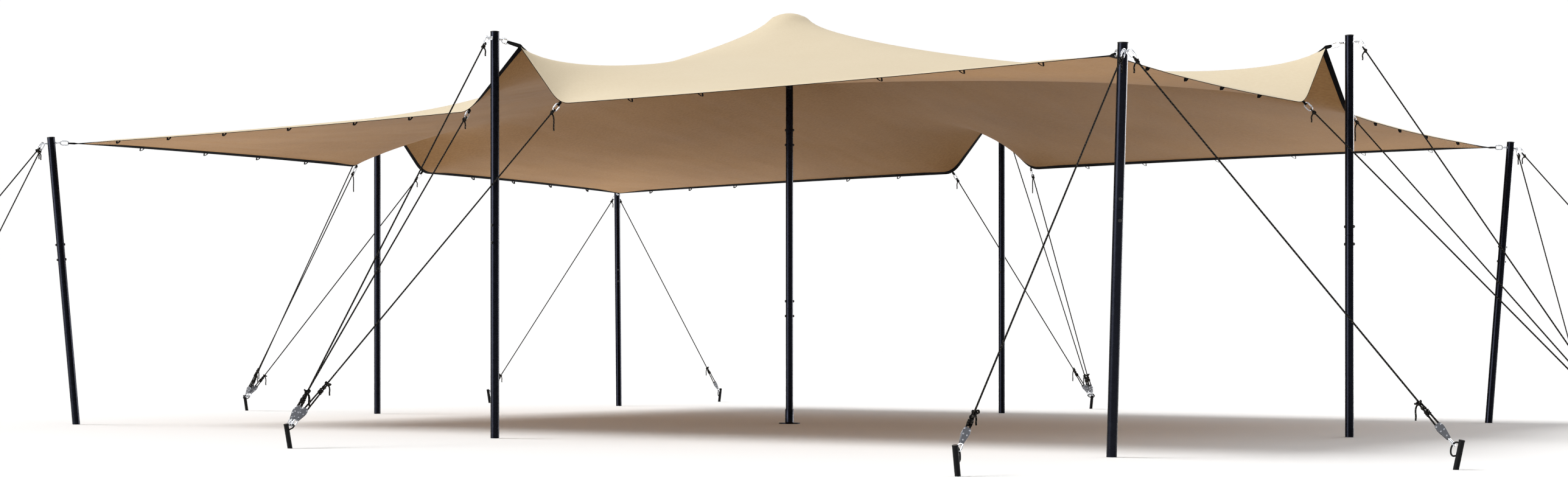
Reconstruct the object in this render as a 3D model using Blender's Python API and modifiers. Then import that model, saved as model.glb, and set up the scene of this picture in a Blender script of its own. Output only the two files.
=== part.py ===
"""A stretch tent of the 10 m by 7.5 m class.

One stretched canopy stands on a tall centre pole, is raised at the middle of each side by an
upright side pole, is held out at each corner by a leaning corner pole, and is stayed by taut
guy ropes to stakes. Metres, +Z up, the origin on the ground under the centre pole, +X along
the long side. The front is -Y and the right is +X. Nothing below the ground is modelled.
"""

import math

import bmesh
import bpy
import numpy as np
from mathutils import Matrix, Vector

# Poles: dark tubes bolted together from 1.0 m and 1.5 m sections.
POLE_RADIUS = 0.032
POLE_SIDES = 12
TOP_CHAMFER = 0.004
SEAM_DEPTH = 0.0015

CORNER_POLE = 2.5
CORNER_JOINTS = (1.5,)
CORNER_FOOT = (4.962, 3.704)
CORNER_LEAN = math.radians(4.85)

SIDE_POLE = 2.99
SIDE_JOINTS = (1.5,)
SIDE_POLE_X = 5.071
SIDE_POLE_Y = 3.784

CENTRE_POLE = 3.5
CENTRE_JOINTS = (1.0, 2.5)

# The eyebolt through each outer pole, and the snap hook on its inner eye.
EYE_BELOW_TOP = 0.055
EYE_RADIUS = 0.018
EYE_WIRE = 0.0045
BOLT_RADIUS = 0.005
SHANK_REACH = 0.006
HOOK_LENGTH = 0.070
HOOK_WIDTH = 0.034
LINK_WIRE = 0.0042
HOOK_SEAT = 0.0008
SHANK_LAP = 0.0013
GAP = 0.0003

# Links are bent in steps of WIRE_STEP, which leaves their wire this much of its radius thick
# in between.
WIRE_STEP = math.radians(45.0)
FLAT = math.cos(WIRE_STEP / 2)

# The round plate and socket under the centre pole, and the head that spreads the peak.
BASE_RADIUS = 0.0935
BASE_THICKNESS = 0.008
SOCKET_RADIUS = 0.0375
SOCKET_HEIGHT = 0.128
HEAD_RADIUS = 0.140
HEAD_RIM = 0.015
HEAD_SLOPE = 0.34
HEAD_NECK = 0.090
HEAD_WALL = 0.006
HEAD_SPREAD = 0.036

# The canopy's fixed points, given for the quarter with x and y positive.
CANOPY_THICKNESS = 0.012
CORNER_TIP = Vector((4.972, 3.714, 2.438))
LONG_TIE = Vector((0.448, 3.582, 2.447))
SHORT_TIE = Vector((4.902, 0.453, 2.454))
LONG_PEAK = Vector((0.0, 3.514, 2.912))
SHORT_PEAK = Vector((4.890, 0.0, 2.911))
CROWN_TOP = 3.600
CROWN_DROP = 0.050
CROWN_RADIUS = 0.170

# How hard the sheet is pulled, against a plain piece of it: round the crown, fading over
# CROWN_FADE, and along the two ridges that join the raised peaks through it, fading over their
# widths. The ridge along X is the broad one. The edges bow inwards, and the cloth's own weight
# draws the sheet down a little.
CROWN_PULL = 18.5
CROWN_FADE = 1.7
RIDGE_X_PULL = 55.0
RIDGE_X_WIDTH = 1.52
RIDGE_Y_PULL = 100.0
RIDGE_Y_WIDTH = 0.28
CLOTH_WEIGHT = 0.34
EDGE_BOW = 0.10

# Grid lines of the quarter net: over the crown's head, to the tie-downs and on to the tips.
NET_X = ((0.0, 0.12, 1), (0.12, LONG_TIE.x, 2), (LONG_TIE.x, 1.6, 5), (1.6, CORNER_TIP.x, 8))
NET_Y = ((0.0, 0.12, 1), (0.12, SHORT_TIE.y, 2), (SHORT_TIE.y, 1.4, 4), (1.4, CORNER_TIP.y, 6))

# Webbing on the canopy.
STRAP_WIDTH = 0.040
STRAP_THICKNESS = 0.007
STRAP_ROOT = 0.050
WEB_WIRE = 0.0045
WEB_WIDTH = 0.026
WEB_LOOP = 0.040
TIE_REACH = 0.045
TIE_ROOT = 0.020

# Guy ropes and their tensioners.
ROPE_RADIUS = 0.0055
ROPE_LAP = 0.021
BOTTOM_LINK = 0.052
BOTTOM_LINK_WIDTH = 0.026
BLOCK_LENGTH = 0.105
BLOCK_WIDTH = 0.044
BLOCK_THICKNESS = 0.022

# Stakes, leaning away from the tent, with a D-shaped ring on the side of the tent.
STAKE_RADIUS = 0.016
STAKE_HEIGHT = 0.166
STAKE_LEAN = math.radians(12.0)
STAKE_SIDES = 8
SIDE_STAKE_X = 7.05
SIDE_STAKE_Y = 5.80
CORNER_STAKE_LONG = (5.21, 5.99)
CORNER_STAKE_SHORT = (7.15, 3.88)
RING_HEIGHT = 0.120
RING_REACH = 0.046
RING_HALF = 0.041
RING_WIRE = 0.005
RING_ROOT = 0.0096
RING_TILT = math.radians(50.0)
ROPE_SPACING = 0.022

BLACK_POLE = ("satin_black_pole", (0.012, 0.013, 0.017), 0.35, 0.6)
CREAM_CLOTH = ("cream_stretch_cloth", (0.72, 0.62, 0.50), 0.85, 0.0)
BLACK_ROPE = ("black_rope", (0.02, 0.02, 0.02), 0.8, 0.0)
BLACK_STAKE = ("black_stake", (0.015, 0.015, 0.016), 0.5, 0.5)
BLACK_HEAD = ("black_pole_head", (0.02, 0.02, 0.02), 0.6, 0.0)
SHARP_ANGLE = math.radians(35.0)
MERGE_DISTANCE = 0.0001
CAP_MERGE = 0.00001


def clear_scene():
    for obj in list(bpy.data.objects):
        bpy.data.objects.remove(obj, do_unlink=True)


def material(spec):
    name, colour, roughness, metallic = spec
    made = bpy.data.materials.get(name)
    if made is None:
        made = bpy.data.materials.new(name)
        made.use_nodes = True
        shader = made.node_tree.nodes["Principled BSDF"]
        shader.inputs["Base Color"].default_value = (*colour, 1.0)
        shader.inputs["Roughness"].default_value = roughness
        shader.inputs["Metallic"].default_value = metallic
    return made


def evaluated_mesh(obj):
    """The object's mesh with its modifiers or bevel made real; the object is removed."""
    bpy.context.view_layer.update()
    graph = bpy.context.evaluated_depsgraph_get()
    mesh = bpy.data.meshes.new_from_object(obj.evaluated_get(graph))
    mesh.transform(obj.matrix_world)
    bpy.data.objects.remove(obj, do_unlink=True)
    return mesh


def temporary(name, data):
    obj = bpy.data.objects.new(name, data)
    bpy.context.scene.collection.objects.link(obj)
    return obj


def fused(pieces):
    """One mesh from touching pieces, by a chain of exact unions."""
    base = temporary("fusing", pieces[0])
    cutters = []
    for piece in pieces[1:]:
        cutter = temporary("joined", piece)
        cutters.append(cutter)
        union = base.modifiers.new("union", "BOOLEAN")
        union.operation = "UNION"
        union.solver = "EXACT"
        union.object = cutter
    mesh = evaluated_mesh(base)
    for cutter in cutters:
        bpy.data.objects.remove(cutter, do_unlink=True)
    return mesh


def place(name, mesh, spec, collection, location=(0.0, 0.0, 0.0), turn=0.0):
    """Put a finished mesh in the tent as a named piece."""
    mesh.name = name
    mesh.materials.clear()
    mesh.materials.append(material(spec))
    mesh.shade_smooth()
    mesh.set_sharp_from_angle(angle=SHARP_ANGLE)
    obj = bpy.data.objects.new(name, mesh)
    obj.location = location
    obj.rotation_euler = (0.0, 0.0, turn)
    collection.objects.link(obj)
    return obj


def turned(profile, sides):
    """A solid turned about Z from a profile that runs from top to bottom."""
    mesh = bpy.data.meshes.new("profile")
    edges = [(k, k + 1) for k in range(len(profile) - 1)]
    mesh.from_pydata([(radius, 0.0, height) for radius, height in profile], edges, [])
    obj = temporary("turned", mesh)
    screw = obj.modifiers.new("screw", "SCREW")
    screw.steps = screw.render_steps = sides
    screw.use_merge_vertices = True
    screw.merge_threshold = MERGE_DISTANCE
    screw.use_smooth_shade = False
    return evaluated_mesh(obj)


def wire(points, radius, closed):
    """A round wire through the points, six-sided, with its caps welded."""
    curve = bpy.data.curves.new("wire", "CURVE")
    curve.dimensions = "3D"
    curve.bevel_depth = radius
    curve.bevel_resolution = 1
    curve.use_fill_caps = True
    spline = curve.splines.new("POLY")
    spline.points.add(len(points) - 1)
    for point, place_at in zip(spline.points, points):
        point.co = (*place_at, 1.0)
    spline.use_cyclic_u = closed
    mesh = evaluated_mesh(temporary("wire", curve))
    welded = bmesh.new()
    welded.from_mesh(mesh)
    bmesh.ops.remove_doubles(welded, verts=welded.verts, dist=CAP_MERGE)
    welded.to_mesh(mesh)
    welded.free()
    return mesh


def ring(radius, thickness, points=8):
    """A ring about Z."""
    turns = [math.tau * k / points for k in range(points)]
    return wire([(radius * math.cos(t), radius * math.sin(t), 0.0) for t in turns],
                thickness, True)


def long_link(length, width, thickness):
    """A link with chamfered ends, from z = 0 to z = length, lying in the YZ plane."""
    half = width / 2
    cut = half * (1.0 - math.tan(WIRE_STEP / 2))
    corners = ((0.0, half - cut), (cut, half), (length - cut, half), (length, half - cut))
    path = [(along, across, 0.0) for along, across in corners]
    path += [(along, -across, 0.0) for along, across in reversed(corners)]
    mesh = wire(path, thickness, True)
    mesh.transform(Matrix.Rotation(math.radians(-90.0), 4, "Y"))
    return mesh


def box(size, centre):
    made = bmesh.new()
    bmesh.ops.create_cube(made, size=1.0, matrix=Matrix.Diagonal((*size, 1.0)))
    bmesh.ops.translate(made, verts=made.verts, vec=centre)
    mesh = bpy.data.meshes.new("box")
    made.to_mesh(mesh)
    made.free()
    return mesh


def rod(radius, low, high, sides=6):
    """A round rod along Z."""
    made = bmesh.new()
    bmesh.ops.create_cone(made, cap_ends=True, segments=sides, radius1=radius, radius2=radius,
                          depth=high - low)
    bmesh.ops.translate(made, verts=made.verts, vec=(0.0, 0.0, (low + high) / 2))
    mesh = bpy.data.meshes.new("rod")
    made.to_mesh(mesh)
    made.free()
    return mesh


def aimed(start, direction):
    """A frame at start whose Z runs along direction and whose X is level."""
    along = Vector(direction).normalized()
    level = Vector((0.0, 0.0, 1.0)).cross(along).normalized()
    rise = along.cross(level)
    turn = Matrix((level, rise, along)).transposed().to_4x4()
    return Matrix.Translation(start) @ turn


# Poles

def pole_tube(length, joints, lean):
    """A tube of bolted sections with a fine seam at each joint, its foot cut level."""
    outline = [(0.0, length), (POLE_RADIUS - TOP_CHAMFER, length),
               (POLE_RADIUS, length - TOP_CHAMFER)]
    for joint in sorted(joints, reverse=True):
        outline += [(POLE_RADIUS, joint + SEAM_DEPTH), (POLE_RADIUS - SEAM_DEPTH, joint),
                    (POLE_RADIUS, joint - SEAM_DEPTH)]
    outline += [(POLE_RADIUS, 0.0), (0.0, 0.0)]
    mesh = turned(outline, POLE_SIDES)
    mesh.transform(Matrix.Rotation(lean, 4, "Y"))
    axis = Vector((math.sin(lean), 0.0, math.cos(lean)))
    for vertex in mesh.vertices:
        if vertex.co.z < POLE_RADIUS:
            vertex.co -= axis * (vertex.co.z / axis.z)
    return mesh


def outer_eye(length, lean):
    """The centre of the eye on the far side of the pole, in the pole's own frame."""
    reach = POLE_RADIUS + SHANK_REACH + EYE_RADIUS
    local = Vector((reach, 0.0, length - EYE_BELOW_TOP))
    return Matrix.Rotation(lean, 4, "Y") @ local


def inner_eye(length, lean):
    reach = POLE_RADIUS + SHANK_REACH + EYE_RADIUS
    local = Vector((-reach, 0.0, length - EYE_BELOW_TOP))
    return Matrix.Rotation(lean, 4, "Y") @ local


def hook_line(length, lean, hold):
    """Where the canopy's snap hook starts and ends, in the pole's own frame."""
    eye = inner_eye(length, lean)
    pull = (hold - eye).normalized()
    start = eye + pull * (EYE_RADIUS + HOOK_SEAT)
    return start, start + pull * HOOK_LENGTH


def outer_pole(length, joints, lean, hold):
    """A corner or side pole with its eyebolt and the snap hook that holds the canopy."""
    lean_turn = Matrix.Rotation(lean, 4, "Y")
    shank = POLE_RADIUS + SHANK_REACH + SHANK_LAP
    bolt = rod(BOLT_RADIUS, -shank, shank)
    eye_height = Matrix.Translation((0.0, 0.0, length - EYE_BELOW_TOP))
    bolt.transform(lean_turn @ eye_height @ Matrix.Rotation(math.radians(90.0), 4, "Y"))
    far_eye = ring(EYE_RADIUS, EYE_WIRE)
    far_eye.transform(Matrix.Translation(outer_eye(length, lean)) @ lean_turn)
    near_eye = ring(EYE_RADIUS, EYE_WIRE)
    upright = Matrix.Rotation(math.radians(90.0), 4, "X")
    near_eye.transform(Matrix.Translation(inner_eye(length, lean)) @ lean_turn @ upright)
    start, end = hook_line(length, lean, hold)
    level_link = Matrix.Rotation(math.radians(90.0), 4, "Z")
    hook = long_link(HOOK_LENGTH, HOOK_WIDTH, LINK_WIRE)
    hook.transform(aimed(start, end - start) @ level_link)
    return fused([pole_tube(length, joints, lean), bolt, far_eye, near_eye, hook])


def centre_base():
    """A round plate with a short socket that the centre pole stands in."""
    bore = POLE_RADIUS + GAP
    outline = [(bore, SOCKET_HEIGHT), (SOCKET_RADIUS, SOCKET_HEIGHT),
               (SOCKET_RADIUS, BASE_THICKNESS), (BASE_RADIUS, BASE_THICKNESS),
               (BASE_RADIUS, 0.0), (0.0, 0.0)]
    inside = [(0.0, BASE_THICKNESS), (bore, BASE_THICKNESS), (bore, SOCKET_HEIGHT)]
    return turned(inside[:-1] + outline, POLE_SIDES * 2)


def centre_head():
    """The round head on the centre pole, with a neck that slips over the pole's top."""
    bore = POLE_RADIUS + GAP
    neck = POLE_RADIUS + HEAD_WALL
    crown = CROWN_TOP - CANOPY_THICKNESS / 2 - GAP
    shoulder = crown - HEAD_RADIUS * HEAD_SLOPE
    ceiling = CENTRE_POLE + GAP
    neck_low = CENTRE_POLE - HEAD_NECK
    return turned([(0.0, crown), (HEAD_RADIUS, shoulder), (HEAD_RADIUS, shoulder - HEAD_RIM),
                   (neck, ceiling - HEAD_SPREAD), (neck, neck_low), (bore, neck_low),
                   (bore, ceiling), (0.0, ceiling)], POLE_SIDES)


# Canopy

def net_lines(stretches):
    lines = [0.0]
    for low, high, cells in stretches:
        lines += [low + (high - low) * (k + 1) / cells for k in range(cells)]
    return np.array(lines)


def share(lines):
    """The width of sheet that each line carries, halved on the mirror plane and the edge."""
    steps = np.diff(lines)
    return np.concatenate([steps[:1], steps[:-1] + steps[1:], steps[-1:]]) / 2


def pull_at(x, y):
    """How hard the sheet is pulled at a place of the flat net."""
    return 1.0 + CROWN_PULL / (np.hypot(x, y) + CROWN_FADE)


def ridge_at(lines, pull, width):
    """The extra pull along a ridge, by the distance from it."""
    return pull * np.exp(-(lines / width) ** 2)


def edge_run(lines, peak, tie, tip):
    """Offset and height of one edge: straight down to the tie-down, then a bowed run.

    Each of peak, tie and tip is a place along the edge, an offset and a height.
    """
    gable = lines <= tie[0] + MERGE_DISTANCE
    down = lines / tie[0]
    run = (lines - tie[0]) / (tip[0] - tie[0])
    bow = EDGE_BOW * 4.0 * run * (1.0 - run)
    offset = np.where(gable, peak[1] + (tie[1] - peak[1]) * down,
                      tie[1] + (tip[1] - tie[1]) * run - bow)
    height = np.where(gable, peak[2] + (tie[2] - peak[2]) * down,
                      tie[2] + (tip[2] - tie[2]) * run)
    return offset, height


def canopy_quarter():
    """The stretched sheet over one quarter of the tent, its heights solved in balance.

    The edges and the crown's head hold their heights. Elsewhere each link of the net pulls
    in proportion to its rise, which is the small-slope balance of a stretched sheet, and the
    mirror planes need no condition of their own.
    """
    x_lines, y_lines = net_lines(NET_X), net_lines(NET_Y)
    columns, rows = len(x_lines), len(y_lines)
    number = np.arange(columns * rows).reshape(columns, rows)
    x_share, y_share = share(x_lines), share(y_lines)
    balance = np.zeros((columns * rows, columns * rows))

    def link(first, second, force):
        for a, b, pull in zip(first.ravel(), second.ravel(), force.ravel()):
            balance[a, a] += pull
            balance[b, b] += pull
            balance[a, b] -= pull
            balance[b, a] -= pull

    x_middle = (x_lines[:-1] + x_lines[1:])[:, None] / 2
    y_middle = (y_lines[:-1] + y_lines[1:])[None, :] / 2
    ridge_x = ridge_at(y_lines, RIDGE_X_PULL, RIDGE_X_WIDTH)[None, :]
    across = (pull_at(x_middle, y_lines[None, :]) + ridge_x) * y_share
    link(number[:-1], number[1:], across / np.diff(x_lines)[:, None])
    ridge_y = ridge_at(x_lines, RIDGE_Y_PULL, RIDGE_Y_WIDTH)[:, None]
    along = (pull_at(x_lines[:, None], y_middle) + ridge_y) * x_share[:, None]
    link(number[:, :-1], number[:, 1:], along / np.diff(y_lines)[None, :])

    tip = CORNER_TIP
    long_offset, long_height = edge_run(x_lines, (0.0, LONG_PEAK.y, LONG_PEAK.z),
                                        tuple(LONG_TIE), tuple(tip))
    short_offset, short_height = edge_run(y_lines, (0.0, SHORT_PEAK.x, SHORT_PEAK.z),
                                          (SHORT_TIE.y, SHORT_TIE.x, SHORT_TIE.z),
                                          (tip.y, tip.x, tip.z))
    x_plan = x_lines[:, None] * short_offset[None, :] / tip.x
    y_plan = y_lines[None, :] * long_offset[:, None] / tip.y
    height = np.full((columns, rows), np.nan)
    height[:, -1] = long_height
    height[-1, :] = short_height
    radius = np.hypot(x_plan, y_plan)
    on_head = radius <= CROWN_RADIUS
    height[on_head] = CROWN_TOP - CROWN_DROP * (radius[on_head] / CROWN_RADIUS) ** 2

    flat = height.ravel()
    known = np.flatnonzero(~np.isnan(flat))
    loose = np.flatnonzero(np.isnan(flat))
    weight = -CLOTH_WEIGHT * (x_share[:, None] * y_share[None, :]).ravel()
    push = weight[loose] - balance[np.ix_(loose, known)] @ flat[known]
    flat[loose] = np.linalg.solve(balance[np.ix_(loose, loose)], push)
    points = np.stack([x_plan.ravel(), y_plan.ravel(), flat], axis=1)
    faces = [[int(number[i, j]), int(number[i + 1, j]), int(number[i + 1, j + 1]),
              int(number[i, j + 1])] for i in range(columns - 1) for j in range(rows - 1)]
    return points, faces


def canopy_shell():
    points, faces = canopy_quarter()
    mesh = bpy.data.meshes.new("canopy_quarter")
    mesh.from_pydata([tuple(point) for point in points], [], faces)
    obj = temporary("canopy_quarter", mesh)
    mirror = obj.modifiers.new("mirror", "MIRROR")
    mirror.use_axis = (True, True, False)
    mirror.merge_threshold = MERGE_DISTANCE
    solid = obj.modifiers.new("thickness", "SOLIDIFY")
    solid.thickness = CANOPY_THICKNESS
    solid.offset = 0.0
    return evaluated_mesh(obj)


def strap(root, inward, hook_end, pull):
    """A webbing strap from the sheet's edge to a loop round the snap hook's end."""
    bars = (LINK_WIRE + WEB_WIRE) * FLAT + GAP
    loop_tip = hook_end + pull * bars
    loop = long_link(WEB_LOOP, WEB_WIDTH, WEB_WIRE)
    loop.transform(aimed(loop_tip, -pull))
    start = root + inward * STRAP_ROOT
    end = loop_tip - pull * (WEB_LOOP - WEB_WIRE)
    run = end - start
    band = box((STRAP_WIDTH, STRAP_THICKNESS, run.length), (0.0, 0.0, run.length / 2))
    band.transform(aimed(start, run))
    return [band, loop]


def tie_loop(root, pull):
    """A webbing loop on the sheet's edge, hanging out along the rope that it takes."""
    loop = long_link(TIE_REACH + TIE_ROOT, WEB_WIDTH, WEB_WIRE)
    loop.transform(aimed(root - pull * TIE_ROOT, pull))
    return loop


# Ropes and stakes

def stake_ring_frame():
    """The ring's frame: X runs from the stake to its straight bar, the tent lies at -X."""
    neck = Matrix.Translation((math.tan(STAKE_LEAN) * (RING_HEIGHT - STAKE_HEIGHT), 0.0,
                               RING_HEIGHT))
    return neck @ Matrix.Rotation(math.pi + RING_TILT, 4, "Y")


def stake_ring_bar(lateral):
    """A place on the middle line of the ring's straight bar, in the stake's own frame."""
    return stake_ring_frame() @ Vector((RING_REACH, lateral, 0.0))


def stake():
    """A round stake's head above the ground with its ring, its top over the origin."""
    body = rod(STAKE_RADIUS, -STAKE_HEIGHT, 0.0, STAKE_SIDES)
    body.transform(Matrix.Rotation(STAKE_LEAN, 4, "Y"))
    body.transform(Matrix.Translation((0.0, 0.0, STAKE_HEIGHT)))
    for vertex in body.vertices:
        if vertex.co.z < STAKE_HEIGHT / 2:
            vertex.co.x -= vertex.co.z * math.tan(STAKE_LEAN)
            vertex.co.z = 0.0
    bend = RING_WIRE * 2
    half = ((0.0, RING_ROOT), (RING_REACH - bend - RING_WIRE, RING_HALF),
            (RING_REACH, RING_HALF - bend))
    path = [(along, across, 0.0) for along, across in half]
    path += [(along, -across, 0.0) for along, across in reversed(half)]
    ring_wire = wire(path, RING_WIRE, False)
    ring_wire.transform(stake_ring_frame())
    return fused([body, ring_wire])


def guy_rope(span, top_level):
    """A taut rope with its end fittings, along Z from the ring's bar to the upper eye's bar."""
    lower = LINK_WIRE * FLAT + RING_WIRE + GAP
    upper = LINK_WIRE * FLAT + EYE_WIRE + GAP
    bottom = long_link(BOTTOM_LINK, BOTTOM_LINK_WIDTH, LINK_WIRE)
    bottom.transform(Matrix.Translation((0.0, 0.0, -lower)))
    block_low = BOTTOM_LINK - lower - LINK_WIRE
    block_high = block_low + BLOCK_LENGTH
    block = box((BLOCK_THICKNESS, BLOCK_WIDTH, BLOCK_LENGTH),
                (0.0, 0.0, (block_low + block_high) / 2))
    top = long_link(HOOK_LENGTH, HOOK_WIDTH, LINK_WIRE)
    if top_level:
        top.transform(Matrix.Rotation(math.radians(90.0), 4, "Z"))
    hook_low = span + upper - HOOK_LENGTH
    top.transform(Matrix.Translation((0.0, 0.0, hook_low)))
    line = rod(ROPE_RADIUS, block_high - ROPE_LAP, hook_low + LINK_WIRE / 2)
    return fused([line, block, bottom, top])


# The tent

SIGNS = ((-1, -1, "front_left"), (1, -1, "front_right"), (-1, 1, "back_left"),
         (1, 1, "back_right"))
SIDES = ((0, -1, "front"), (1, 0, "right"), (0, 1, "back"), (-1, 0, "left"))


def heading_frame(x, y, heading):
    return Matrix.Translation((x, y, 0.0)) @ Matrix.Rotation(heading, 4, "Z")


def mirrored(point, x_sign, y_sign):
    return Vector((point.x * x_sign, point.y * y_sign, point.z))


def add_rope(name, low, high, top_level, collection):
    run = high - low
    frame = aimed(low, run)
    obj = place(name, guy_rope(run.length, top_level), BLACK_ROPE, collection)
    obj.location = low
    obj.rotation_euler = frame.to_euler()


def build():
    clear_scene()
    tent = bpy.data.collections.new("stretch_tent")
    bpy.context.scene.collection.children.link(tent)
    canopy = [canopy_shell()]
    stake_mesh = stake()

    diagonal = math.radians(45.0)
    corner_hold = heading_frame(*CORNER_FOOT, diagonal).inverted() @ CORNER_TIP
    corner_pole = outer_pole(CORNER_POLE, CORNER_JOINTS, CORNER_LEAN, corner_hold)
    corner_start, corner_end = hook_line(CORNER_POLE, CORNER_LEAN, corner_hold)
    for x_sign, y_sign, corner in SIGNS:
        heading = math.atan2(y_sign, x_sign)
        foot = (CORNER_FOOT[0] * x_sign, CORNER_FOOT[1] * y_sign, 0.0)
        frame = heading_frame(foot[0], foot[1], heading)
        place(f"corner_pole_{corner}", corner_pole.copy(), BLACK_POLE, tent, foot, heading)
        tip = mirrored(CORNER_TIP, x_sign, y_sign)
        hook_end = frame @ corner_end
        pull = (hook_end - tip).normalized()
        inward = Vector((-x_sign, -y_sign, 0.0)).normalized()
        canopy += strap(tip, inward, hook_end, pull)
        eye = frame @ outer_eye(CORNER_POLE, CORNER_LEAN)
        lean_turn = frame.to_3x3() @ Matrix.Rotation(CORNER_LEAN, 3, "Y")
        for spot, side, quarter in ((CORNER_STAKE_LONG, "long", y_sign * x_sign),
                                    (CORNER_STAKE_SHORT, "short", -y_sign * x_sign)):
            top = Vector((spot[0] * x_sign, spot[1] * y_sign, 0.0))
            away = math.atan2(top.y - foot[1], top.x - foot[0])
            stake_frame = heading_frame(top.x, top.y, away)
            name = f"{corner}_{side}"
            place(f"stake_{name}", stake_mesh.copy(), BLACK_STAKE, tent, top, away)
            low = stake_frame @ stake_ring_bar(0.0)
            turn = diagonal * quarter
            high = eye + lean_turn @ Vector((EYE_RADIUS * math.cos(turn),
                                             EYE_RADIUS * math.sin(turn), 0.0))
            add_rope(f"guy_{name}", low, high, False, tent)

    for x_side, y_side, side in SIDES:
        heading = math.atan2(y_side, x_side)
        foot = Vector((SIDE_POLE_X * x_side, SIDE_POLE_Y * y_side, 0.0))
        frame = heading_frame(foot.x, foot.y, heading)
        peak = SHORT_PEAK if x_side else LONG_PEAK
        peak = Vector((peak.x * x_side, peak.y * y_side, peak.z))
        hold = frame.inverted() @ peak
        pole = outer_pole(SIDE_POLE, SIDE_JOINTS, 0.0, hold)
        place(f"side_pole_{side}", pole, BLACK_POLE, tent, foot, heading)
        _, end = hook_line(SIDE_POLE, 0.0, hold)
        hook_end = frame @ end
        inward = Vector((-x_side, -y_side, 0.0))
        canopy += strap(peak, inward, hook_end, (hook_end - peak).normalized())
        top = Vector((SIDE_STAKE_X * x_side, SIDE_STAKE_Y * y_side, 0.0))
        stake_frame = heading_frame(top.x, top.y, heading)
        place(f"stake_{side}", stake_mesh.copy(), BLACK_STAKE, tent, top, heading)
        high = frame @ (outer_eye(SIDE_POLE, 0.0) + Vector((EYE_RADIUS, 0.0, 0.0)))
        add_rope(f"guy_{side}_pole", stake_frame @ stake_ring_bar(0.0), high, False, tent)
        for hand, tag in ((-1, "a"), (1, "b")):
            tie = SHORT_TIE if x_side else LONG_TIE
            across = Vector((-y_side, x_side, 0.0)) * hand
            if x_side:
                root = Vector((tie.x * x_side, tie.y * across.y, tie.z))
            else:
                root = Vector((tie.x * across.x, tie.y * y_side, tie.z))
            low = stake_frame @ stake_ring_bar(ROPE_SPACING * hand)
            pull = (low - root).normalized()
            canopy.append(tie_loop(root, pull))
            add_rope(f"guy_{side}_{tag}", low, root + pull * TIE_REACH, True, tent)

    place("canopy", fused(canopy), CREAM_CLOTH, tent)

    place("centre_base_plate", centre_base(), BLACK_POLE, tent)
    centre_pole = pole_tube(CENTRE_POLE - BASE_THICKNESS - GAP, CENTRE_JOINTS, 0.0)
    place("centre_pole", centre_pole, BLACK_POLE, tent, (0.0, 0.0, BASE_THICKNESS + GAP))
    place("centre_pole_head", centre_head(), BLACK_HEAD, tent)


build()
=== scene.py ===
"""The looks of a stretch tent: one stretched canopy on nine dark poles, stayed by rope to stakes.

Metres, +Z up, the origin on the ground under the centre pole, the front is -Y and the right is
+X. The sections follow the order in which the tent is put up.
"""

import itertools
import math

import bpy
import numpy as np
from mathutils import Matrix, Vector


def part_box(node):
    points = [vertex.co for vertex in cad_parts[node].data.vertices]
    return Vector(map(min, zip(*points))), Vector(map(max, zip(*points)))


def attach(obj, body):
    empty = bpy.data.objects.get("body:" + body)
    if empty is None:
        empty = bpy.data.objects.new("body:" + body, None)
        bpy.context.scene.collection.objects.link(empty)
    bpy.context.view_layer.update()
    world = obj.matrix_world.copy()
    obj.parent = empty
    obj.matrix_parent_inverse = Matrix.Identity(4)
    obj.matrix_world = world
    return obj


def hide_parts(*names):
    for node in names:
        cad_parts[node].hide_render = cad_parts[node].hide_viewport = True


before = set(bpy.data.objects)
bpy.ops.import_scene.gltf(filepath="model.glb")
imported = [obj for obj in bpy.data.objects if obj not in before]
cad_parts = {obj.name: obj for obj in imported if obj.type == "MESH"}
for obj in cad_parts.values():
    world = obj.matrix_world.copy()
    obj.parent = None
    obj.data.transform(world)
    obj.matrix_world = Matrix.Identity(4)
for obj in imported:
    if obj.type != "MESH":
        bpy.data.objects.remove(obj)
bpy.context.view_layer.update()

# The place the tent stands in: a plain white floor that ends in a white dome, seen from a low
# tripod about 19 m off the front right corner. The light is soft and comes from high on the
# left, and wide soft boxes beside the tent show only as the sheen on its poles. White boards
# on the ground under its four corners throw light up at the cloth.
SIGNS = ((-1, -1, "front_left"), (1, -1, "front_right"), (-1, 1, "back_left"),
         (1, 1, "back_right"))
CAMERA_PLACE = (10.922, -15.681, 0.660)
CAMERA_TURN = (math.radians(90.0), 0.0, math.radians(35.0))
CAMERA_LENS = 50.06
CAMERA_RISE = 0.0701
CAMERA_REACH = 1000.0
FLOOR_RADIUS = 380.0
FLOOR_DROP = 0.0005
FLOOR_COLOUR = "#FAF9F7"
BACKDROP_LIGHT = 1.0
SKY_LOW = 0.12
SKY_HIGH = 0.64
SKY_COLOUR = "#FBFCFF"
SUN_LIGHT = 2.3
SUN_TILT = (math.radians(14.0), math.radians(-31.0), 0.0)
SUN_SPREAD = math.radians(30.0)
SOFT_BOX_HEADINGS = ((-0.42, -0.91, 0.0), (0.42, 0.91, 0.0))
SOFT_BOX_DISTANCE = 40.0
SOFT_BOX_SIZE = (26.0, 30.0)
SOFT_BOX_GLOW = 9.0
BOARD_PLACE = (4.5, 3.2, 0.01)
BOARD_SIZE = (2.8, 2.4)
BOARD_GLOW = 2.0


def linear(colour):
    """An sRGB hex colour as linear red, green, blue and a full alpha."""
    shares = [int(colour[k:k + 2], 16) / 255.0 for k in (1, 3, 5)]
    return (*[s / 12.92 if s <= 0.04045 else ((s + 0.055) / 1.055) ** 2.4 for s in shares], 1.0)


def wire(node, sockets):
    """Give each of a node's sockets its value, or link another node's output to it."""
    for name, value in sockets.items():
        if isinstance(value, bpy.types.NodeSocket):
            node.id_data.links.new(value, node.inputs[name])
        else:
            node.inputs[name].default_value = value


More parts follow.
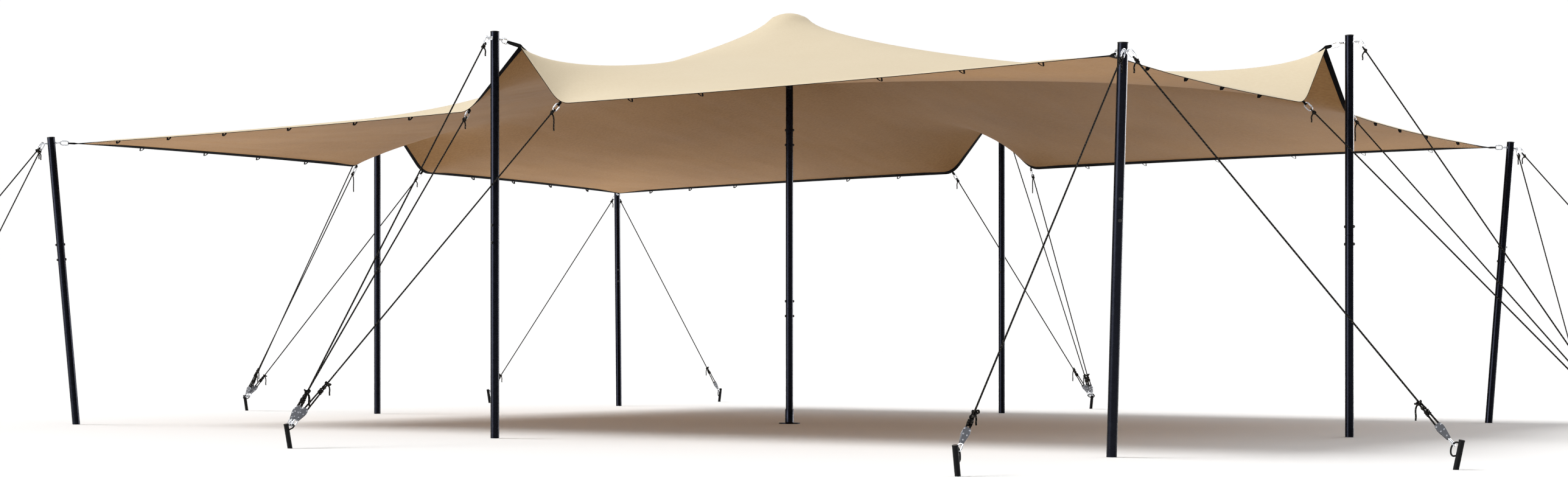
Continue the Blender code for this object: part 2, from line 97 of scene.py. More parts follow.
def add(tree, kind, sockets=None, output=0, **settings):
    """Add a shader node with its settings and links, and give back one of its outputs."""
    made = tree.nodes.new("ShaderNode" + kind)
    for name, value in settings.items():
        setattr(made, name, value)
    wire(made, sockets or {})
    return made.outputs[output]


def finish_named(name, base, roughness, metallic=0.0, **others):
    """A new material and its shader, with the values that are the same all over."""
    made = bpy.data.materials.new(name)
    made.use_nodes = True
    shader = made.node_tree.nodes["Principled BSDF"]
    wire(shader, {"Base Color": linear(base), "Roughness": roughness, "Metallic": metallic})
    wire(shader, {socket.replace("_", " "): value for socket, value in others.items()})
    return made, made.node_tree, shader


def put_up(name, data, place=(0.0, 0.0, 0.0), turn=(0.0, 0.0, 0.0)):
    """A new object in the scene, made from its data."""
    made = bpy.data.objects.new(name, data)
    made.location = place
    made.rotation_euler = turn
    bpy.context.scene.collection.objects.link(made)
    return made


def area_light(name, size, glow, place, turn):
    """A rectangular light that glows the same all over, and that the camera doesn't see."""
    data = bpy.data.lights.new(name, "AREA")
    data.shape = "RECTANGLE"
    data.size, data.size_y = size
    data.energy = glow * math.pi * size[0] * size[1]
    made = put_up(name, data, place, turn)
    made.visible_camera = False
    return made


def mirrored(place, x_way, y_way):
    """A place of the back right quarter, set in the quarter or on the side that is asked for."""
    return Vector((place[0] * x_way, place[1] * y_way, place[2]))


camera_data = bpy.data.cameras.new("camera")
camera_data.lens = CAMERA_LENS
camera_data.shift_y = CAMERA_RISE
camera_data.clip_end = CAMERA_REACH
bpy.context.scene.camera = put_up("camera", camera_data, CAMERA_PLACE, CAMERA_TURN)
bpy.context.scene.view_settings.view_transform = "Standard"

bpy.ops.mesh.primitive_circle_add(vertices=128, radius=FLOOR_RADIUS, fill_type="NGON",
                                  location=(0.0, 0.0, -FLOOR_DROP))
floor = bpy.context.object
floor.name = "studio_floor"
floor.data.materials.append(finish_named("floor_paint", FLOOR_COLOUR, 0.9)[0])
bpy.ops.mesh.primitive_uv_sphere_add(segments=64, ring_count=32, radius=FLOOR_RADIUS)
dome = bpy.context.object
dome.name = "studio_dome"
dome.data.materials.append(finish_named("dome_light", "#000000", 1.0,
                                        Emission_Color=linear("#FFFFFF"),
                                        Emission_Strength=BACKDROP_LIGHT)[0])
dome.visible_diffuse = dome.visible_glossy = dome.visible_shadow = False
dome.visible_transmission = dome.visible_volume_scatter = False

world = bpy.data.worlds.new("sky")
world.use_nodes = True
bpy.context.scene.world = world
sky = world.node_tree
direction = add(sky, "TexCoord", output="Generated")
height = add(sky, "SeparateXYZ", {"Vector": direction}, "Z")
overhead = add(sky, "MapRange", {"Value": height, "From Min": 0.05, "From Max": 0.75,
                                 "To Min": SKY_LOW, "To Max": SKY_HIGH},
               interpolation_type="SMOOTHSTEP")
wire(sky.nodes["Background"], {"Color": linear(SKY_COLOUR), "Strength": overhead})

sun_data = bpy.data.lights.new("sun", "SUN")
sun_data.energy = SUN_LIGHT
sun_data.angle = SUN_SPREAD
put_up("sun", sun_data, turn=SUN_TILT)
for heading in SOFT_BOX_HEADINGS:
    soft_box = area_light("soft_box", SOFT_BOX_SIZE, SOFT_BOX_GLOW,
                          Vector(heading) * SOFT_BOX_DISTANCE,
                          Vector(heading).to_track_quat("Z", "Y").to_euler())
    soft_box.visible_diffuse = False
for x_way, y_way, corner in SIGNS:
    board = area_light("bounce_board", BOARD_SIZE, BOARD_GLOW,
                       mirrored(BOARD_PLACE, x_way, y_way), (math.pi, 0.0, 0.0))
    board.visible_glossy = False

# The centre pole's foot: a round plate with a short upright socket, turned and welded from
# steel and painted black like the poles. The pole stands in it loose, held by the tent's pull.
BASE_RADIUS = 0.0935
BASE_THICKNESS = 0.008
SOCKET_RADIUS = 0.0375
SOCKET_INSIDE = 0.0326
SOCKET_HEIGHT = 0.128
SOCKET_DEPTH = 0.020
SOCKET_LIP = 0.0012
WELD_SIZE = 0.006
WELD_MIDDLE = WELD_SIZE * 0.35
FINE_EDGE = 0.001
BROAD_EDGE = 0.002
ROUND_SIDES = 48
WIDE_SIDES = 72
SHARP_ANGLE = 35.0
SCUFF_SIZE = 0.035
LINE_SPACING = 0.0045


def run_along(points):
    """How far along a line each of its points lies."""
    steps = np.linalg.norm(np.diff(np.asarray(points, float), axis=0), axis=1)
    return np.concatenate([[0.0], np.cumsum(steps)])


def lofted(rings, along, closed=False):
    """Faces between equal rings of points, with their places along and around the form."""
    rings = np.asarray(rings, float)
    count, sides = rings.shape[:2]
    faces, places = [], []
    for i in range(count if closed else count - 1):
        here, ahead = i * sides, (i + 1) % count * sides
        low, high = along[i], along[i + 1]
        for k in range(sides):
            n = (k + 1) % sides
            left, right = k / sides, (k + 1) / sides
            faces.append([here + k, here + n, ahead + n, ahead + k])
            places.append([(left, low), (right, low), (right, high), (left, high)])
    if not closed:
        last = (count - 1) * sides
        faces += [list(range(sides))[::-1], [last + k for k in range(sides)]]
        places += [[(0.5, along[0])] * sides, [(0.5, along[-1])] * sides]
    return rings.reshape(-1, 3), faces, places


def turned(outline, sides=ROUND_SIDES):
    """A form turned about Z; the outline runs up its outer side as (radius, height)."""
    turns = np.linspace(0.0, math.tau, sides, endpoint=False)
    rings = [[(radius * math.cos(t), radius * math.sin(t), height) for t in turns]
             for radius, height in outline]
    return lofted(rings, run_along(outline))


def moved(part, matrix):
    """A part set in another place."""
    points, faces, places = part
    return points @ np.array(matrix.to_3x3()).T + np.array(matrix.translation), faces, places


def joined(parts):
    """Several parts of one finish as one."""
    points, faces, places, base = [], [], [], 0
    for part_points, part_faces, part_places in parts:
        points.append(part_points)
        faces += [[k + base for k in face] for face in part_faces]
        places += part_places
        base += len(part_points)
    return np.concatenate(points), faces, places


def shaped(name, points, faces, numbers, finishes, sharp):
    """An object from its points and faces, with the number of each face's finish."""
    mesh = bpy.data.meshes.new(name)
    mesh.from_pydata(points.tolist(), [], faces)
    for finish in finishes:
        mesh.materials.append(finish)
    mesh.polygons.foreach_set("material_index", numbers)
    mesh.uv_layers.new(name="run")
    mesh.shade_smooth()
    mesh.set_sharp_from_angle(angle=math.radians(sharp))
    return put_up(name, mesh)


def piece(name, parts, finishes, place=Matrix.Identity(4), stands_for=()):
    """One object made of parts, each given with the number of its finish."""
    points, faces, places = joined([part for part, number in parts])
    numbers = [number for part, number in parts for face in part[1]]
    obj = shaped(name, points, faces, numbers, finishes, SHARP_ANGLE)
    spots = np.array([spot for face_spots in places for spot in face_spots], np.float32)
    obj.data.uv_layers["run"].data.foreach_set("uv", spots.ravel())
    obj.matrix_world = place
    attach(obj, "root")
    if stands_for:
        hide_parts(*stands_for)
    return obj


# Anodised aluminium tube, drawn and then dyed blue-black: a metal sheen with faint drawn
# lines up the tube and small scuffs where sections were handled. The real lines lie under
# 1 mm apart, and are shown at LINE_SPACING.
tube_black, tree, shader = finish_named("black_anodised_aluminium", "#1A1B21", 0.28, 1.0)
local = add(tree, "TexCoord", output="Object")
stretched = add(tree, "Mapping", {"Vector": local,
                                  "Scale": (1 / LINE_SPACING, 1 / LINE_SPACING, 0.24)})
lines = add(tree, "TexNoise", {"Vector": stretched, "Scale": 1.0, "Detail": 2.0})
scuffs = add(tree, "TexNoise", {"Vector": local, "Scale": 1 / SCUFF_SIZE, "Detail": 6.0,
                                "Roughness": 0.7})
gloss = add(tree, "MapRange", {"Value": scuffs, "From Min": 0.35, "From Max": 0.75,
                               "To Min": 0.25, "To Max": 0.33})
tint = add(tree, "ValToRGB", {"Fac": scuffs})
for element, position, colour in zip(tint.node.color_ramp.elements, (0.35, 0.8),
                                     ("#191A21", "#202229")):
    element.position = position
    element.color = linear(colour)
relief = add(tree, "Bump", {"Height": lines, "Strength": 0.12, "Distance": 0.0002})
wire(shader, {"Base Color": tint, "Roughness": gloss, "Normal": relief})

base_foot = turned([(0.0, 0.0), (BASE_RADIUS - FINE_EDGE, 0.0), (BASE_RADIUS, FINE_EDGE),
                    (BASE_RADIUS, BASE_THICKNESS - BROAD_EDGE),
                    (BASE_RADIUS - BROAD_EDGE, BASE_THICKNESS),
                    (SOCKET_RADIUS + WELD_SIZE, BASE_THICKNESS),
                    (SOCKET_RADIUS + WELD_MIDDLE, BASE_THICKNESS + WELD_MIDDLE),
                    (SOCKET_RADIUS, BASE_THICKNESS + WELD_SIZE),
                    (SOCKET_RADIUS, SOCKET_HEIGHT - SOCKET_LIP),
                    (SOCKET_RADIUS - SOCKET_LIP, SOCKET_HEIGHT), (SOCKET_INSIDE, SOCKET_HEIGHT),
                    (SOCKET_INSIDE, SOCKET_HEIGHT - SOCKET_DEPTH)], WIDE_SIDES)
piece("centre_foot_plate", [(base_foot, 0)], [tube_black],
      stands_for=["centre_base_plate"])

# The poles: sections of drawn aluminium tube, 64 mm across, that slide together on inner
# sleeves. Each joint is held by two through-bolts with washers, above and below its seam, and
# each top is closed by a pressed-in plastic cap.
SIDES = ((0, -1, "front"), (1, 0, "right"), (0, 1, "back"), (-1, 0, "left"))
QUARTER_TURN = math.radians(90.0)
POLE_RADIUS = 0.032
FOOT_EDGE = (0.0022, 0.0006)
SEAM_GROOVE = ((0.0, -0.0018), (0.0012, -0.00045), (0.0012, 0.00045), (0.0, 0.0018))
TUBE_END = 0.004
CAP_OUTLINE = ((0.0, 0.0080), (0.0320, 0.0080), (0.0330, 0.0070), (0.0330, 0.0028),
               (0.0318, 0.0010), (0.0290, 0.0002), (0.0, 0.0))
BOLT_SPACING = 0.065
BOLT_RADIUS = 0.0050
HEAD_RADIUS = 0.0104
HEAD_OUTLINE = ((0.0, 0.0), (HEAD_RADIUS, 0.0), (HEAD_RADIUS, 0.0060), (0.0090, 0.0072),
                (0.0, 0.0072))
WASHER_RADIUS = 0.0120
WASHER_DEPTH = 0.0018
WASHER_SINK = 0.0012
WASHER_SIDES = 20
HEAD_SIDES = 6
PIN_SIDES = 12
NUT_REACH = 0.0112
CENTRE_POLE = 3.5
CENTRE_JOINTS = (1.0, 2.5)
CENTRE_BOLT_TURN = math.radians(35.0)
CORNER_POLE = 2.5
SIDE_POLE = 2.99
OUTER_JOINTS = (1.5,)
CORNER_FOOT = (4.962, 3.704, 0.0)
CORNER_LEAN = math.radians(4.85)
SIDE_FOOT = (5.071, 3.784, 0.0)
GRAINS_PER_METRE = 900.0

# Black moulded polyamide: dull, with the fine grain that the mould leaves.
polyamide, tree, shader = finish_named("black_moulded_polyamide", "#0B0C0E", 0.55, IOR=1.53)
local = add(tree, "TexCoord", output="Object")
grain = add(tree, "TexNoise", {"Vector": local, "Scale": GRAINS_PER_METRE, "Detail": 2.0})
relief = add(tree, "Bump", {"Height": grain, "Strength": 0.25, "Distance": 0.0002})
wire(shader, {"Normal": relief})


def frame_at(place, angle, axis="Z"):
    """The frame at a place, turned about one of its axes."""
    return Matrix.Translation(place) @ Matrix.Rotation(angle, 4, axis)


def bar(radius, low, high, sides):
    """A plain bar along Z between two heights."""
    low, high = sorted((low, high))
    return turned([(0.0, low), (radius, low), (radius, high), (0.0, high)], sides)


def bolt(reach):
    """A blackened through-bolt along Z, with a washer and head at one end and a washer and nut
    at the other, both outside the given reach."""
    seat = reach - WASHER_SINK
    face = seat + WASHER_DEPTH
    end = reach + NUT_REACH
    head = [(radius, face + height) for radius, height in HEAD_OUTLINE]
    return joined([bar(WASHER_RADIUS, -seat, -face, WASHER_SIDES),
                   bar(WASHER_RADIUS, seat, face, WASHER_SIDES),
                   turned([(0.0, reach), (BOLT_RADIUS, reach), (BOLT_RADIUS, end - FINE_EDGE),
                           (BOLT_RADIUS - FINE_EDGE, end), (0.0, end)], PIN_SIDES),
                   turned(head, HEAD_SIDES),
                   turned([(radius, -height) for radius, height in head[::-1]], HEAD_SIDES)])


def pole_parts(length, joints, lean):
    """The tube of one pole with its cap, and the bolts through its joints."""
    outline = [(0.0, 0.0), (POLE_RADIUS - FOOT_EDGE[0], 0.0), (POLE_RADIUS, FOOT_EDGE[1])]
    for joint in joints:
        outline += [(POLE_RADIUS - depth, joint + offset) for depth, offset in SEAM_GROOVE]
    outline += [(POLE_RADIUS, length - TUBE_END), (0.0, length - TUBE_END)]
    tube = turned(outline)
    foot = tube[0][:ROUND_SIDES * 3]
    foot[:, 2] += foot[:, 0] * math.tan(lean)
    cap = turned([(radius, length - below) for radius, below in CAP_OUTLINE])
    places = [frame_at((0.0, 0.0, joint + side * BOLT_SPACING), QUARTER_TURN, "Y")
              for joint in joints for side in (-1, 1)]
    return [(tube, 0), (cap, 1)] + [(moved(bolt(POLE_RADIUS), place), 1) for place in places]


centre_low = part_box("centre_pole")[0].z
piece("centre_pole_tube", pole_parts(CENTRE_POLE - centre_low, CENTRE_JOINTS, 0.0),
      [tube_black, polyamide],
      frame_at((0.0, 0.0, centre_low), CENTRE_BOLT_TURN), ["centre_pole"])
pole_frames = {}
for kind, ways, foot, length, lean in (("corner", SIGNS, CORNER_FOOT, CORNER_POLE, CORNER_LEAN),
                                       ("side", SIDES, SIDE_FOOT, SIDE_POLE, 0.0)):
    for x_way, y_way, name in ways:
        stand = frame_at(mirrored(foot, x_way, y_way), math.atan2(y_way, x_way))
        pole_frames[name] = stand @ Matrix.Rotation(lean, 4, "Y")
        piece(f"pole_tube_{name}", pole_parts(length, OUTER_JOINTS, lean),
              [tube_black, polyamide], pole_frames[name], [f"{kind}_pole_{name}"])

# The centre pole's head: a broad cone moulded in black polyamide that spreads the pole's push
# under the cloth, with a collar that slips over the tube and eight ribs beneath.
CONE_RADIUS = 0.140
CONE_RIM = 0.015
CONE_SLOPE = 0.34
CONE_TOP_EDGE = 0.004
CONE_SHARES = (0.97, 0.3, 0.12)
COLLAR_LENGTH = 0.090
COLLAR_WALL = 0.006
COLLAR_PLAY = 0.0003
RIB_COUNT = 8
RIB_THICKNESS = 0.005
PLATE_CHAMFER = 0.0006
RIB_FOOT = (0.006, 0.030)
RIB_END = ((0.006, -0.001), (0.008, 0.004))
RIB_ROOT = 0.004
head_low, head_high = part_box("centre_pole_head")
crown = head_high.z
shoulder = crown - CONE_RADIUS * CONE_SLOPE
rim_low = shoulder - CONE_RIM
collar = POLE_RADIUS + COLLAR_WALL
underside = CENTRE_POLE - COLLAR_LENGTH * 0.4
outer, middle, inner = (CONE_RADIUS * part for part in CONE_SHARES)
cone = turned([(0.0, CENTRE_POLE), (POLE_RADIUS + COLLAR_PLAY, CENTRE_POLE),
               (POLE_RADIUS + COLLAR_PLAY, head_low.z), (collar - FINE_EDGE, head_low.z),
               (collar, head_low.z + FINE_EDGE), (collar, underside),
               (CONE_RADIUS - BROAD_EDGE, rim_low), (CONE_RADIUS, rim_low + BROAD_EDGE),
               (CONE_RADIUS, shoulder - CONE_TOP_EDGE), (outer, shoulder + FINE_EDGE),
               (middle, crown - middle * CONE_SLOPE + FINE_EDGE), (inner, crown - BROAD_EDGE),
               (0.0, crown)], WIDE_SIDES)


def slab(outline, thickness, chamfer=PLATE_CHAMFER):
    """A flat plate in the XY plane from its outline, with small chamfers on its edges."""
    rim = np.array(outline, float)
    ahead = np.roll(rim, -1, axis=0) - rim
    behind = rim - np.roll(rim, 1, axis=0)
    ahead /= np.linalg.norm(ahead, axis=1)[:, None]
    behind /= np.linalg.norm(behind, axis=1)[:, None]
    inward = np.stack([-(ahead + behind)[:, 1], (ahead + behind)[:, 0]], axis=1)
    inner = rim + inward / np.linalg.norm(inward, axis=1)[:, None] * chamfer
    half = thickness / 2
    rings = [np.column_stack([flat, np.full(len(flat), level)]) for flat, level in
             ((inner, -half), (rim, -half + chamfer), (rim, half - chamfer), (inner, half))]
    return lofted(rings, [0.0, chamfer, thickness - chamfer, thickness])


rib = slab([(collar - BROAD_EDGE, head_low.z + RIB_FOOT[1]),
            (collar + RIB_FOOT[0], head_low.z + RIB_FOOT[1]),
            *[(CONE_RADIUS - short, rim_low + above) for short, above in RIB_END],
            (collar - BROAD_EDGE, underside + RIB_ROOT)], RIB_THICKNESS)
ribs = [moved(rib, Matrix.Rotation(math.tau * k / RIB_COUNT, 4, "Z") @
              Matrix.Rotation(QUARTER_TURN, 4, "X")) for k in range(RIB_COUNT)]
piece("centre_head_cone", [(part, 0) for part in (cone, *ribs)], [polyamide],
      stands_for=["centre_pole_head"])

# The canopy: one piece of coated stretch cloth, knitted, cream above and brown beneath. It is
# pulled tight over the centre head and out to the pole hooks and the tie-downs, so every part
# of it lies in the balance of its own pull.
CLOTH_THICKNESS = 0.0016
CORNER_TIP = Vector((4.972, 3.714, 2.438))
LONG_TIE = Vector((0.448, 3.582, 2.447))
SHORT_TIE = Vector((4.902, 0.453, 2.454))
LONG_PEAK = Vector((0.0, 3.514, 2.912))
SHORT_PEAK = Vector((4.890, 0.0, 2.911))
CLOTH_GAP = 0.0004
CROWN_TOP = crown + CLOTH_THICKNESS / 2 + CLOTH_GAP
CROWN_DROP = 0.050
CROWN_RADIUS = 0.170
CROWN_PULL = 18.5
CROWN_FADE = 1.7
RIDGE_X_PULL = 55.0
RIDGE_X_WIDTH = 1.52
RIDGE_Y_PULL = 100.0
RIDGE_Y_WIDTH = 0.28
CLOTH_WEIGHT = 0.34
EDGE_BOW = 0.10
EDGE_ROUND = 0.085
HEM_CURL = 0.017
HEM_FADE = 0.8
HEM_STARTS = (0.30, 0.50)
BINDING_WIDTH = 0.040
NET_HEAD = 0.18
NET_OPEN = 1.6
NET_CELLS = (4, 3, 6, 10)
NET_STEP = 0.1
CLOTH_SHARP = 60.0
STITCH_PITCH = 0.006
STITCH_TURN = math.radians(45.0)
MOTTLE_SIZE = 0.9
YARN_STRETCH = (32.0, 85.0, 85.0)
YARN_SHARE = 0.4
FOLD_SIZE = 0.7
FOLD_TURN = (0.0, 0.0, math.radians(25.0))
FOLD_STRETCH = (1.0, 0.3, 1.0)


def net_lines(tie, tip):
    """Lines of the net, closer together over the head, round the tie-down and at the edge."""
    stops = (0.0, NET_HEAD, tie - EDGE_ROUND, tie + EDGE_ROUND, NET_OPEN, tip - BINDING_WIDTH, tip)
    cells = (*NET_CELLS, int((tip - NET_OPEN) / NET_STEP), 1)
    lines = [0.0]
    for low, high, count in zip(stops, stops[1:], cells):
        lines += [low + (high - low) * (k + 1) / count for k in range(count)]
    return np.array(lines)


def share(lines):
    """The width of cloth that each line carries, halved on the mirror plane and the edge."""
    steps = np.diff(lines)
    return np.concatenate([steps[:1], steps[:-1] + steps[1:], steps[-1:]]) / 2


def pull_at(x, y):
    """How hard the cloth is pulled: more round the crown."""
    return 1.0 + CROWN_PULL / (np.hypot(x, y) + CROWN_FADE)


def ridge_at(lines, pull, width):
    """The extra pull along a ridge between two raised peaks, by the distance from it."""
    return pull * np.exp(-(lines / width) ** 2)


def edge_run(lines, peak, tie, tip):
    """Offset and height of one edge: straight down to the tie-down, round it, then bowed."""
    run = (lines - tie[0]) / (tip[0] - tie[0])
    near = np.abs(lines - tie[0]) < EDGE_ROUND
    blend = (lines - tie[0] + EDGE_ROUND) / (2 * EDGE_ROUND)
    far = EDGE_ROUND / (tip[0] - tie[0])
    results = []
    for k, bow in ((1, EDGE_BOW), (2, 0.0)):
        low, middle, high = peak[k], tie[k], tip[k]
        down = low + (middle - low) * lines / tie[0]
        out = middle + (high - middle) * run - bow * 4.0 * run * (1.0 - run)
        start = low + (middle - low) * (tie[0] - EDGE_ROUND) / tie[0]
        end = middle + (high - middle) * far - 4.0 * bow * far * (1.0 - far)
        rounded = (1 - blend) ** 2 * start + 2 * blend * (1 - blend) * middle + blend ** 2 * end
        results.append(np.where(near, rounded, np.where(lines < tie[0], down, out)))
    return results


def hem_share(lines, tie, tip):
    """How much of the hem's curl each place along an edge has: none at the gable and the tip."""
    rising = np.clip((lines - tie - EDGE_ROUND) / HEM_STARTS[0], 0.0, 1.0)
    falling = np.clip((tip - lines) / HEM_STARTS[1], 0.0, 1.0)
    return rising ** 2 * (3 - 2 * rising) * falling ** 2 * (3 - 2 * falling)


def cloth_quarter():
    """Places of the cloth's net over one quarter of the tent, solved in balance."""
    tip = CORNER_TIP
    x_lines = net_lines(LONG_TIE.x, tip.x)
    y_lines = net_lines(SHORT_TIE.y, tip.y)
    columns, rows = len(x_lines), len(y_lines)
    number = np.arange(columns * rows).reshape(columns, rows)
    x_share, y_share = share(x_lines), share(y_lines)
    balance = np.zeros((columns * rows, columns * rows))

    def link(first, second, force):
        a, b, pull = first.ravel(), second.ravel(), force.ravel()
        np.add.at(balance, (a, a), pull)
        np.add.at(balance, (b, b), pull)
        np.add.at(balance, (a, b), -pull)
        np.add.at(balance, (b, a), -pull)

    x_middle = (x_lines[:-1] + x_lines[1:])[:, None] / 2
    y_middle = (y_lines[:-1] + y_lines[1:])[None, :] / 2
    ridge_x = ridge_at(y_lines, RIDGE_X_PULL, RIDGE_X_WIDTH)[None, :]
    across = (pull_at(x_middle, y_lines[None, :]) + ridge_x) * y_share
    link(number[:-1], number[1:], across / np.diff(x_lines)[:, None])
    ridge_y = ridge_at(x_lines, RIDGE_Y_PULL, RIDGE_Y_WIDTH)[:, None]
    along = (pull_at(x_lines[:, None], y_middle) + ridge_y) * x_share[:, None]
    link(number[:, :-1], number[:, 1:], along / np.diff(y_lines)[None, :])

    long_offset, long_height = edge_run(x_lines, LONG_PEAK, LONG_TIE, tip)
    short_offset, short_height = edge_run(y_lines, SHORT_PEAK.yxz, SHORT_TIE.yxz, tip.yxz)
    x_plan = x_lines[:, None] * short_offset[None, :] / tip.x
    y_plan = y_lines[None, :] * long_offset[:, None] / tip.y
    heights = np.full((columns, rows), np.nan)
    heights[:, -1] = long_height
    heights[-1, :] = short_height
    radius = np.hypot(x_plan, y_plan)
    on_head = radius <= CROWN_RADIUS
    heights[on_head] = CROWN_TOP - CROWN_DROP * (radius[on_head] / CROWN_RADIUS) ** 2
    flat = heights.ravel()
    known = np.flatnonzero(~np.isnan(flat))
    loose = np.flatnonzero(np.isnan(flat))
    weight = -CLOTH_WEIGHT * (x_share[:, None] * y_share[None, :]).ravel()
    push = weight[loose] - balance[np.ix_(loose, known)] @ flat[known]
    flat[loose] = np.linalg.solve(balance[np.ix_(loose, loose)], push)
    heights = flat.reshape(columns, rows)
    x_curl = HEM_CURL * hem_share(x_lines, LONG_TIE.x, tip.x)
    y_curl = HEM_CURL * hem_share(y_lines, SHORT_TIE.y, tip.y)
    heights[:, :-1] += x_curl[:, None] * np.exp((y_lines[:-1] - tip.y) / HEM_FADE)[None, :]
    heights[:-1] += np.exp((x_lines[:-1] - tip.x) / HEM_FADE)[:, None] * y_curl[None, :]
    return np.stack([x_plan, y_plan, heights], axis=2)


def unit(vectors):
    return vectors / np.linalg.norm(vectors, axis=-1, keepdims=True)


quarter = cloth_quarter()
half_net = np.concatenate([quarter[:0:-1] * (-1, 1, 1), quarter], axis=0)
cloth = np.concatenate([half_net[:, :0:-1] * (1, -1, 1), half_net], axis=1)
cloth_up = unit(np.cross(np.gradient(cloth, axis=0), np.gradient(cloth, axis=1)))
columns, rows = cloth.shape[:2]
number = np.arange(columns * rows).reshape(columns, rows)
corners = [number[:-1, :-1], number[1:, :-1], number[1:, 1:], number[:-1, 1:]]
same_side = (cloth[:-1, :-1, 0] + cloth[1:, 1:, 0]) * (cloth[:-1, :-1, 1] + cloth[1:, 1:, 1]) > 0
halves = [[np.where(same_side, corners[k], corners[m]) for k, m in half]
          for half in (((0, 0), (1, 1), (3, 2)), ((1, 0), (2, 2), (3, 3)))]
upper_faces = np.concatenate([np.stack(half, axis=2).reshape(-1, 3) for half in halves])
lower_faces = upper_faces[:, ::-1] + columns * rows
rim = np.concatenate([number[:, 0], number[-1, 1:], number[-2::-1, -1], number[0, -2:0:-1]])
rim_next = np.roll(rim, -1)
rim_quads = np.stack([rim, rim + columns * rows, rim_next + columns * rows, rim_next], axis=1)
sheet_points = np.concatenate([(cloth + cloth_up * (side * CLOTH_THICKNESS / 2)).reshape(-1, 3)
                               for side in (1, -1)])
sheet_faces = [faces.tolist() for faces in (upper_faces, lower_faces, rim_quads)]


def cloth_finish(name, colour, shade, rough, weave_depth, fold_depth):
    """Coated stretch knit: fine crossing threads over a soft mottle of light and dark.

    The real threads lie about 1 mm apart, which no view of the whole tent can show, so they
    are drawn at STITCH_PITCH.
    """
    made, tree, shader = finish_named(name, colour, rough, Sheen_Weight=0.08,
                                      Specular_IOR_Level=0.15)
    local = add(tree, "TexCoord", output="Object")
    threads = []
    for angle in (STITCH_TURN, -STITCH_TURN):
        turn = add(tree, "Mapping", {"Vector": local, "Rotation": (0.0, 0.0, angle)})
        threads.append(add(tree, "TexWave", {"Vector": turn, "Scale": math.tau / 20 / STITCH_PITCH,
                                             "Distortion": 0.6, "Detail": 1.0,
                                             "Detail Scale": 2.0}, "Fac"))
    weave = add(tree, "Math", {0: threads[0], 1: threads[1]}, operation="MULTIPLY")
    mottle = add(tree, "TexNoise", {"Vector": local, "Scale": 1 / MOTTLE_SIZE, "Detail": 5.0})
    clouds = add(tree, "MapRange", {"Value": mottle, "From Min": 0.3, "From Max": 0.7,
                                    "To Min": 0.0, "To Max": 0.35})
    yarn = add(tree, "Mapping", {"Vector": local, "Scale": YARN_STRETCH})
    uneven = add(tree, "TexNoise", {"Vector": yarn, "Scale": 1.0, "Detail": 3.0})
    streaks = add(tree, "MapRange", {"Value": uneven, "From Min": 0.35, "From Max": 0.65,
                                     "To Min": 0.0, "To Max": YARN_SHARE})
    soft = add(tree, "Math", {0: clouds, 1: streaks}, operation="ADD")
    mixed = add(tree, "Math", {0: weave, 1: 0.3, 2: soft}, operation="MULTIPLY_ADD")
    tint = add(tree, "Mix", {"Factor": mixed, "A": linear(colour), "B": linear(shade)}, "Result",
               data_type="RGBA")
    drift = add(tree, "Mapping", {"Vector": local, "Rotation": FOLD_TURN, "Scale": FOLD_STRETCH})
    folds = add(tree, "TexNoise", {"Vector": drift, "Scale": 1 / FOLD_SIZE, "Detail": 2.0})
    swell = add(tree, "Bump", {"Height": folds, "Strength": 1.0, "Distance": fold_depth})
    relief = add(tree, "Bump", {"Height": weave, "Strength": 0.5, "Distance": weave_depth,
                                "Normal": swell})
    wire(shader, {"Base Color": tint, "Normal": relief})
    return made


cloth_cream = cloth_finish("cream_coated_stretch_knit", "#E4D5B8", "#DDCCAC", 0.72, 0.0003,
                           0.02)
cloth_brown = cloth_finish("brown_coated_knit_back", "#98744A", "#7C5B36", 0.80, 0.0012,
                           0.07)

# Polypropylene webbing, woven in ribs across its length and dyed black: a dull, slightly
# silky black with fine ridges.
WEBBING_RIB = 0.0022
webbing, tree, shader = finish_named("black_polypropylene_webbing", "#0A0A0C", 0.75,
                                     Specular_IOR_Level=0.08)
run = add(tree, "UVMap", uv_map="run")
length_run = add(tree, "SeparateXYZ", {"Vector": run}, "Y")
step = add(tree, "Math", {0: length_run, 1: math.tau / WEBBING_RIB}, operation="MULTIPLY")
ribbed = add(tree, "Math", {0: step}, operation="SINE")
relief = add(tree, "Bump", {"Height": ribbed, "Strength": 0.6, "Distance": 0.0005})
wire(shader, {"Normal": relief})

canopy = shaped("canopy_cloth", sheet_points, sum(sheet_faces, []),
                [k for k, faces in enumerate(sheet_faces) for face in faces],
                (cloth_cream, cloth_brown, webbing), CLOTH_SHARP)
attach(canopy, "root")
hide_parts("canopy")

# The edge binding: black webbing folded over the canopy's edge and sewn through, wide on the
# underside and narrow on top, so that it hardly shows from above. Short loops of the same
# webbing are sewn under it for side walls and spare lines.
UP = Vector((0.0, 0.0, 1.0))
EAST = Vector((1.0, 0.0, 0.0))
NORTH = Vector((0.0, 1.0, 0.0))
BINDING_THICKNESS = 0.0015
BINDING_LIP = 0.0015
BINDING_SQUEEZE = 0.8
FOLD = 0.0004
CUT = 0.0002
LOOPS_LONG = (0.63, 1.25, 2.00, 2.75, 3.40, 4.00)
LOOPS_SHORT = (0.70, 1.31, 1.92, 2.60)
LOOP_HALF = 0.017
LOOP_DROP = 0.022
LOOP_SLANT = 0.012
LOOP_SHAPE = ((1.0, 0.0, 0.0), (1.0, 0.0, 0.3), (0.7, 0.6, 0.8), (0.2, 1.0, 1.0),
              (-0.4, 1.0, 0.85), (-1.0, 0.0, 0.2), (-1.0, 0.0, 0.0))
LOOP_BAND = (0.018, 0.0022)
LOOP_STEP = 0.02


